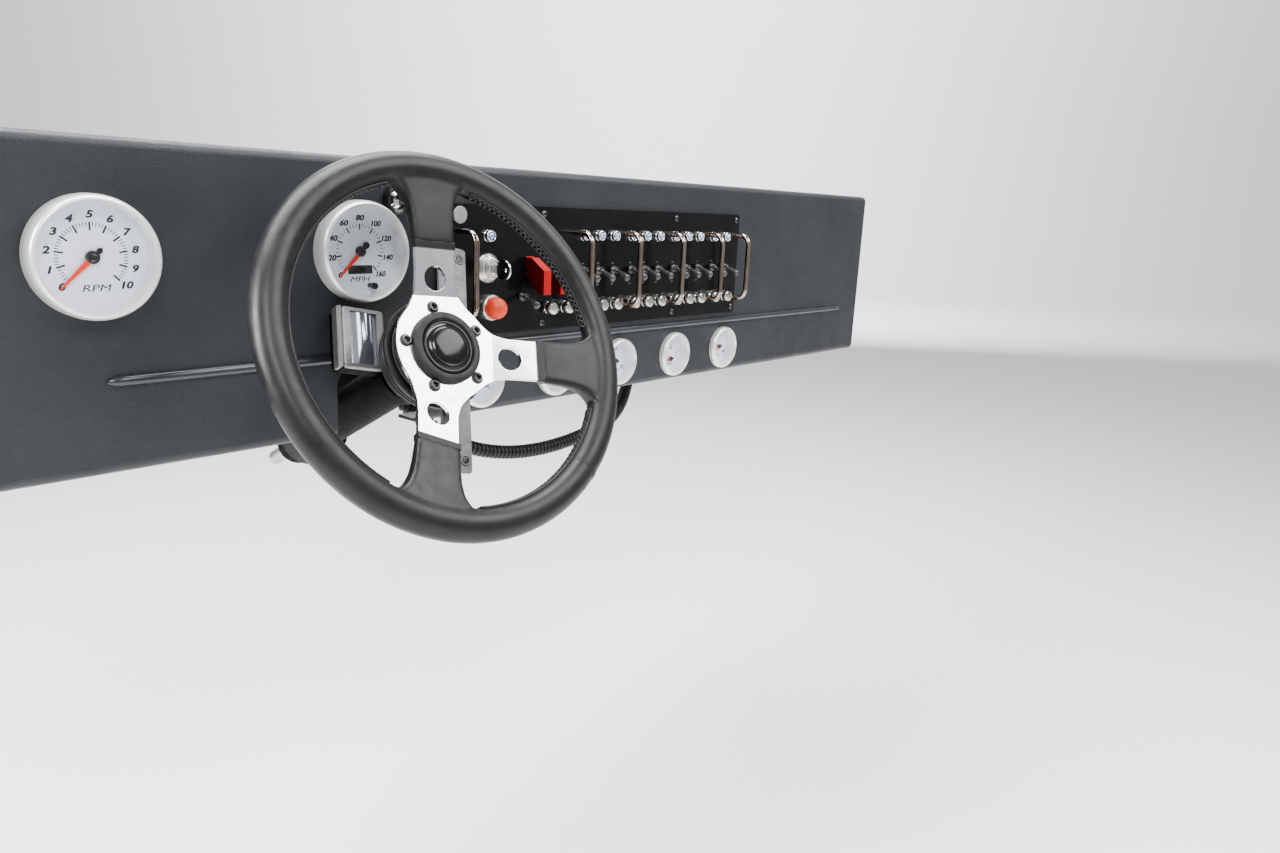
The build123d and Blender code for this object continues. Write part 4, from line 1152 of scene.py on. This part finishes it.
class DASH_OT_switches(bpy.types.Operator):
    """Model the switch panel: plate, bolts, toggles, covers, lights, breakers, lock and button"""

    bl_idname = "dash.switches"
    bl_label = "Model switches"

    def hexagon(self, name, across, low, high, hole):
        """A nut: six flats with their corners turned off."""
        flat, corner = across * 0.5, across * 0.577
        return turned(name, [(hole, low), (flat, low), (corner, low + 0.3), (corner, high - 0.3),
                             (flat, high), (hole, high), (hole, low)], 6, 25)

    def execute(self, context):
        sizes = context.scene.dashboard_sizes
        half = sizes.bolt_width / MM / 2
        dress("panel_bolts", [
            (0, 1.0), (1.1, 1.0), (1.3, 2.3), (1.9, 2.5), (half * 0.7, 2.0), (half * 0.95, 1.0), (half, 0.2),
            (half, 0.0), (0, 0.0)], on_plate(PANEL_BOLTS), "steel", "dark steel", steps=28, smooth=30)

        # Toggles: a bevelled nut, a threaded bush and a bat handle that droops.
        nut = self.hexagon("nut", 9.6, 0.0, 2.2, 3.6)
        bush = turned("bush", [(3.0, 0.0), (4.6, 0.0), (4.6, 2.4), (4.2, 2.7), (4.5, 3.1), (4.1, 3.5),
                               (4.4, 3.9), (4.0, 4.3), (4.3, 4.7), (3.9, 5.1), (4.2, 5.5), (3.8, 5.9),
                               (4.1, 6.3), (4.0, 7.6), (3.5, 8.0), (3.0, 7.8), (3.0, 0.0)], 24, 60)
        spots = on_plate(TOGGLES)
        both = joined("toggle_body", [nut, bush])
        hand_over(copies(both, "toggle_bodies", spots), "dash", "steel", "dark steel", "toggle_bushings")
        bats = []
        for long, out, grow, chosen in ((21.0, 19.0, 1.3, spots[2:]), (17.5, 15.0, 1.0, spots[:2])):
            bat = turned("bat", [(0, -1.5), (2.2, -1.3), (2.5, 0.0), (2.3, 1.2), (2.0, 2.6),
                                 (2.1 * grow, 0.3 * long), (2.6 * grow, 0.55 * long),
                                 (3.2 * grow, 0.8 * long), (3.4 * grow, long - 2.6),
                                 (3.1 * grow, long - 1.2), (2.0 * grow, long - 0.3), (0, long)], 20, 50)
            droop = Matrix.Rotation(atan2(9.0, out) * 0.93, 4, "X")
            lean = [spot @ Matrix.Translation((0, 0, 6.6 * MM)) @ droop for spot in chosen]
            bats.append(copies(bat, "bats", lean))
        hand_over(joined("toggle_bats", bats), "dash", "toggle_black", "toggle black", "toggle_levers")

        # Warning lights: a stepped chrome bezel round a faceted jewel.
        dress("light_bezels", [
            (3.7, 0.0), (6.2, 0.0), (6.2, 0.9), (5.8, 1.3), (6.0, 1.8), (6.1, 4.4), (5.8, 5.7), (5.2, 6.5),
            (4.7, 6.6), (4.35, 6.3), (4.2, 5.2), (3.7, 4.2), (3.7, 0.0)],
            on_plate(LIGHTS), "bright_chrome", "bright chrome", "indicator_bezels", steps=40)
        dress("light_jewels", [(0, 4.2), (3.6, 4.2), (3.6, 5.6), (3.0, 6.9), (1.8, 7.7), (0, 7.9)],
              on_plate(LIGHTS), "jewel_blue", "jewel blue", "indicator_jewels", steps=10, smooth=12)

        # Breakers: a dress nut and a knob with flats pressed round it.
        collar = self.hexagon("collar", 12.4, 0.0, 2.8, 4.6)
        washer = turned("washer", [(4.6, 2.8), (6.6, 2.8), (7.0, 3.2), (7.0, 5.2), (6.5, 5.9), (4.6, 6.0),
                                   (4.6, 2.8)],
                        32, 35)
        spots = on_plate(BREAKERS)
        hand_over(copies(joined("collar", [collar, washer]), "breaker_nuts", spots), "dash", "steel",
                  "knob silver", "breaker_collars")
        knob = turned("knob", [(0, 6.0), (6.9, 6.0), (7.5, 6.5), (7.6, 7.2), (7.6, 11.0), (7.2, 12.6),
                               (6.3, 13.8), (4.6, 14.4), (2.4, 14.6), (0, 14.6)], 2 * sizes.knurl_count, 28)
        open_mesh(knob)
        count = sizes.knurl_count
        pick_points(lambda co: co.xy.length > 6.5 * MM
                    and round(atan2(co.y, co.x) * count / pi) % 2 == 1)
        bpy.ops.transform.resize(value=(0.9, 0.9, 1), center_override=(0, 0, 0))
        close_mesh()
        hand_over(copies(knob, "breaker_knobs", spots), "dash", "breaker_clear", "knob silver",
                  "breaker_buttons")

        # Ignition lock: a low cone with rings sunk in its face.
        dress("ignition_barrel", [
            (0, -26.0), (11.1, -26.0), (11.1, 0.0), (15.1, 0.0), (15.1, 1.2), (14.7, 2.2), (13.9, 3.2),
            (12.6, 4.9),
            (11.6, 6.2), (11.0, 6.9), (10.3, 7.3), (9.6, 7.1), (9.3, 6.4), (9.2, 5.4), (8.4, 5.4), (8.3, 6.9),
            (7.9, 7.4), (6.6, 7.5), (6.2, 7.0), (6.1, 5.8), (5.1, 5.8), (5.0, 7.2), (4.6, 7.6), (2.2, 7.6),
            (1.9, 6.9), (0, 6.8)], on_plate([LOCK]), "steel", "lock silver", "ignition_lock", steps=96,
              smooth=20)
        key = softened("ignition_key", "ignition_key_blade", 0.35, 2, 35)
        grips = softened("ignition_key", "ignition_key_grips", 0.2, 2, 35)
        for piece in (key, grips):
            carry(piece, Matrix.Translation((0, 3.5 * MM, 0)))
        hand_over(key, "dash", "bright_chrome", "bright chrome", "ignition_key")
        bow = on_face(*LOCK, 27.5).translation
        open_mesh(grips)
        bpy.ops.mesh.select_all(action="SELECT")
        bpy.ops.mesh.bisect(plane_co=bow + Vector((0, 9.8 * MM, 0)), plane_no=(0, 1, 0), clear_outer=True,
                            use_fill=True)
        bpy.ops.mesh.select_all(action="SELECT")
        bpy.ops.transform.resize(value=(1.25, 0.86, 0.86), center_override=bow)
        close_mesh()
        hand_over(grips, "dash", "toggle_black", "hub black")

        dress("push_collar", [
            (5.0, -16.0), (9.4, -16.0), (9.4, 0.0), (13.4, 0.0), (13.4, 5.4), (13.0, 6.6), (12.2, 7.3),
            (5.0, 7.4), (5.0, -16.0)], on_plate([PUSH]), "bright_chrome", "lock silver", "push_bezel",
              steps=56)
        dome = [(0, 0.0), (4.9, 0.0), (4.9, 7.4), (10.9, 7.4), (11.2, 7.9)]
        for a in range(0, 90, 10):
            a = radians(a)
            dome.append((11.2 * cos(a), 12.0 + 10.4 * sin(a)))
        dress("push_dome", dome + [(0, 22.4)], on_plate([PUSH]), "push_red", "push red", "push_button",
              steps=56)

        # Generic words above and below each toggle.
        labels = []
        for u in SWITCH_US[2:]:
            for words, v in (("ON", 27.4), ("OFF", 3.0)):
                labels.append(flat_print(words, 2.6, on_face(u, v, PLATE_FACE), 0.03))
        hand_over(joined("switch_words", labels), "dash", "panel_black", "print pale")
        covers = softened("safety_covers", "flip_covers", 0.5, 2, 35)
        hand_over(covers, "dash", "cover_red", "cover red", "safety_covers")
        panel = softened("switch_panel", "switch_plate", 0.35, 2, 35)
        hand_over(panel, "dash", "panel_black", "panel black", "switch_panel")
        return {"FINISHED"}


class DASH_OT_pod(bpy.types.Operator):
    """Model the warning pod's surround, lens and flank, and the bead across the dash"""

    bl_idname = "dash.pod"
    bl_label = "Model pod and bead"

    def execute(self, context):
        pod = softened("pod_frame", "pod_surround", 0.9, 3, 35)
        hand_over(pod, "dash", "pod_silver", "pod silver", "pod_frame")
        # The pod's lens bulges across, which draws what it mirrors out into upright streaks.
        lens = block("pod_glass", (1.9, 48.2, 1.5), 0, (-11.4, 0, -87.25))
        open_mesh(lens, "FACE")
        for k in range(12):
            pick_faces(lambda mid, normal: normal.x > 0.9)
            pull_out((1.9 * MM, 0, 0))
        bpy.ops.mesh.select_mode(type="VERT")
        for k in range(14):
            x = -12.35 + 1.9 * k
            pick_points(lambda co: abs(co.x - x * MM) < 1e-5 and co.z > -87 * MM)
            bpy.ops.transform.translate(value=(0, 0, 2.6 * (1 - (x / 12.35) ** 2) * MM))
        close_mesh()
        bpy.ops.object.shade_smooth_by_angle(angle=radians(30))
        hand_over(carry(lens, on_column(*POD)), "dash", "pod_smoke", "pod smoke", "pod_lens")
        # The pod's frame runs back along the housing's outer side, with a slanted shoulder.
        flank = block("flank", (3.4, 56.8, 13.0), 0, (-21.8, 0, -90.2))
        open_mesh(flank)
        pick_points(lambda co: co.x < -23 * MM and co.z > -85 * MM)
        bpy.ops.transform.translate(value=(0, 0, -3.2 * MM))
        close_mesh()
        round_edges(flank, 0.7, 3, 25)
        hand_over(carry(flank, on_column(*POD)), "dash", "pod_silver", "pod silver")
        # The bead across the dash, its ends brought down to the sheet.
        end = [(0, 10.3), (1.3, 9.7), (2.5, 7.9), (3.6, 4.7), (4.25, 0.5), (4.3, -3.7)]
        end = [(r, BEAD_HALF + s) for r, s in end]
        along = Matrix.Translation((BEAD_MIDDLE * MM, face_y, BEAD_V * MM)) @ Matrix.Rotation(pi / 2, 4, "Y")
        dress("bead_crown", [(r, -s) for r, s in end] + end[::-1], [along], "dash_paint", "bead paint",
              smooth=50)
        return {"FINISHED"}


class DASH_PT_sidebar(bpy.types.Panel):
    """Lists the sizes, colours and operators of the dashboard"""

    bl_label = "Dashboard"
    bl_idname = "DASH_PT_sidebar"
    bl_space_type = "VIEW_3D"
    bl_region_type = "UI"
    bl_category = "Dashboard"

    def draw(self, context):
        for group in (context.scene.dashboard_sizes, context.scene.dashboard_colours):
            for label in group.bl_rna.properties.keys():
                if label not in ("rna_type", "name"):
                    self.layout.prop(group, label)
        for operator in OPERATORS:
            self.layout.operator(operator.bl_idname)


OPERATORS = (
    DASH_OT_finishes, DASH_OT_stage, DASH_OT_loom, DASH_OT_rim, DASH_OT_stitches, DASH_OT_spokes,
    DASH_OT_gauges,
    DASH_OT_switches, DASH_OT_pod,
)
CLASSES = (DashboardSizes, DashboardColours, *OPERATORS, DASH_PT_sidebar)


def register():
    for cls in CLASSES:
        bpy.utils.register_class(cls)
    bpy.types.Scene.dashboard_sizes = PointerProperty(type=DashboardSizes)
    bpy.types.Scene.dashboard_colours = PointerProperty(type=DashboardColours)


def unregister():
    del bpy.types.Scene.dashboard_colours
    del bpy.types.Scene.dashboard_sizes
    for cls in reversed(CLASSES):
        bpy.utils.unregister_class(cls)


def main():
    register()
    bpy.ops.dash.finishes()
    bpy.ops.dash.stage()
    bpy.ops.dash.loom()
    bpy.ops.dash.rim()
    bpy.ops.dash.stitches()
    bpy.ops.dash.spokes()
    bpy.ops.dash.gauges()
    bpy.ops.dash.switches()
    bpy.ops.dash.pod()


if __name__ == "__main__":
    main()
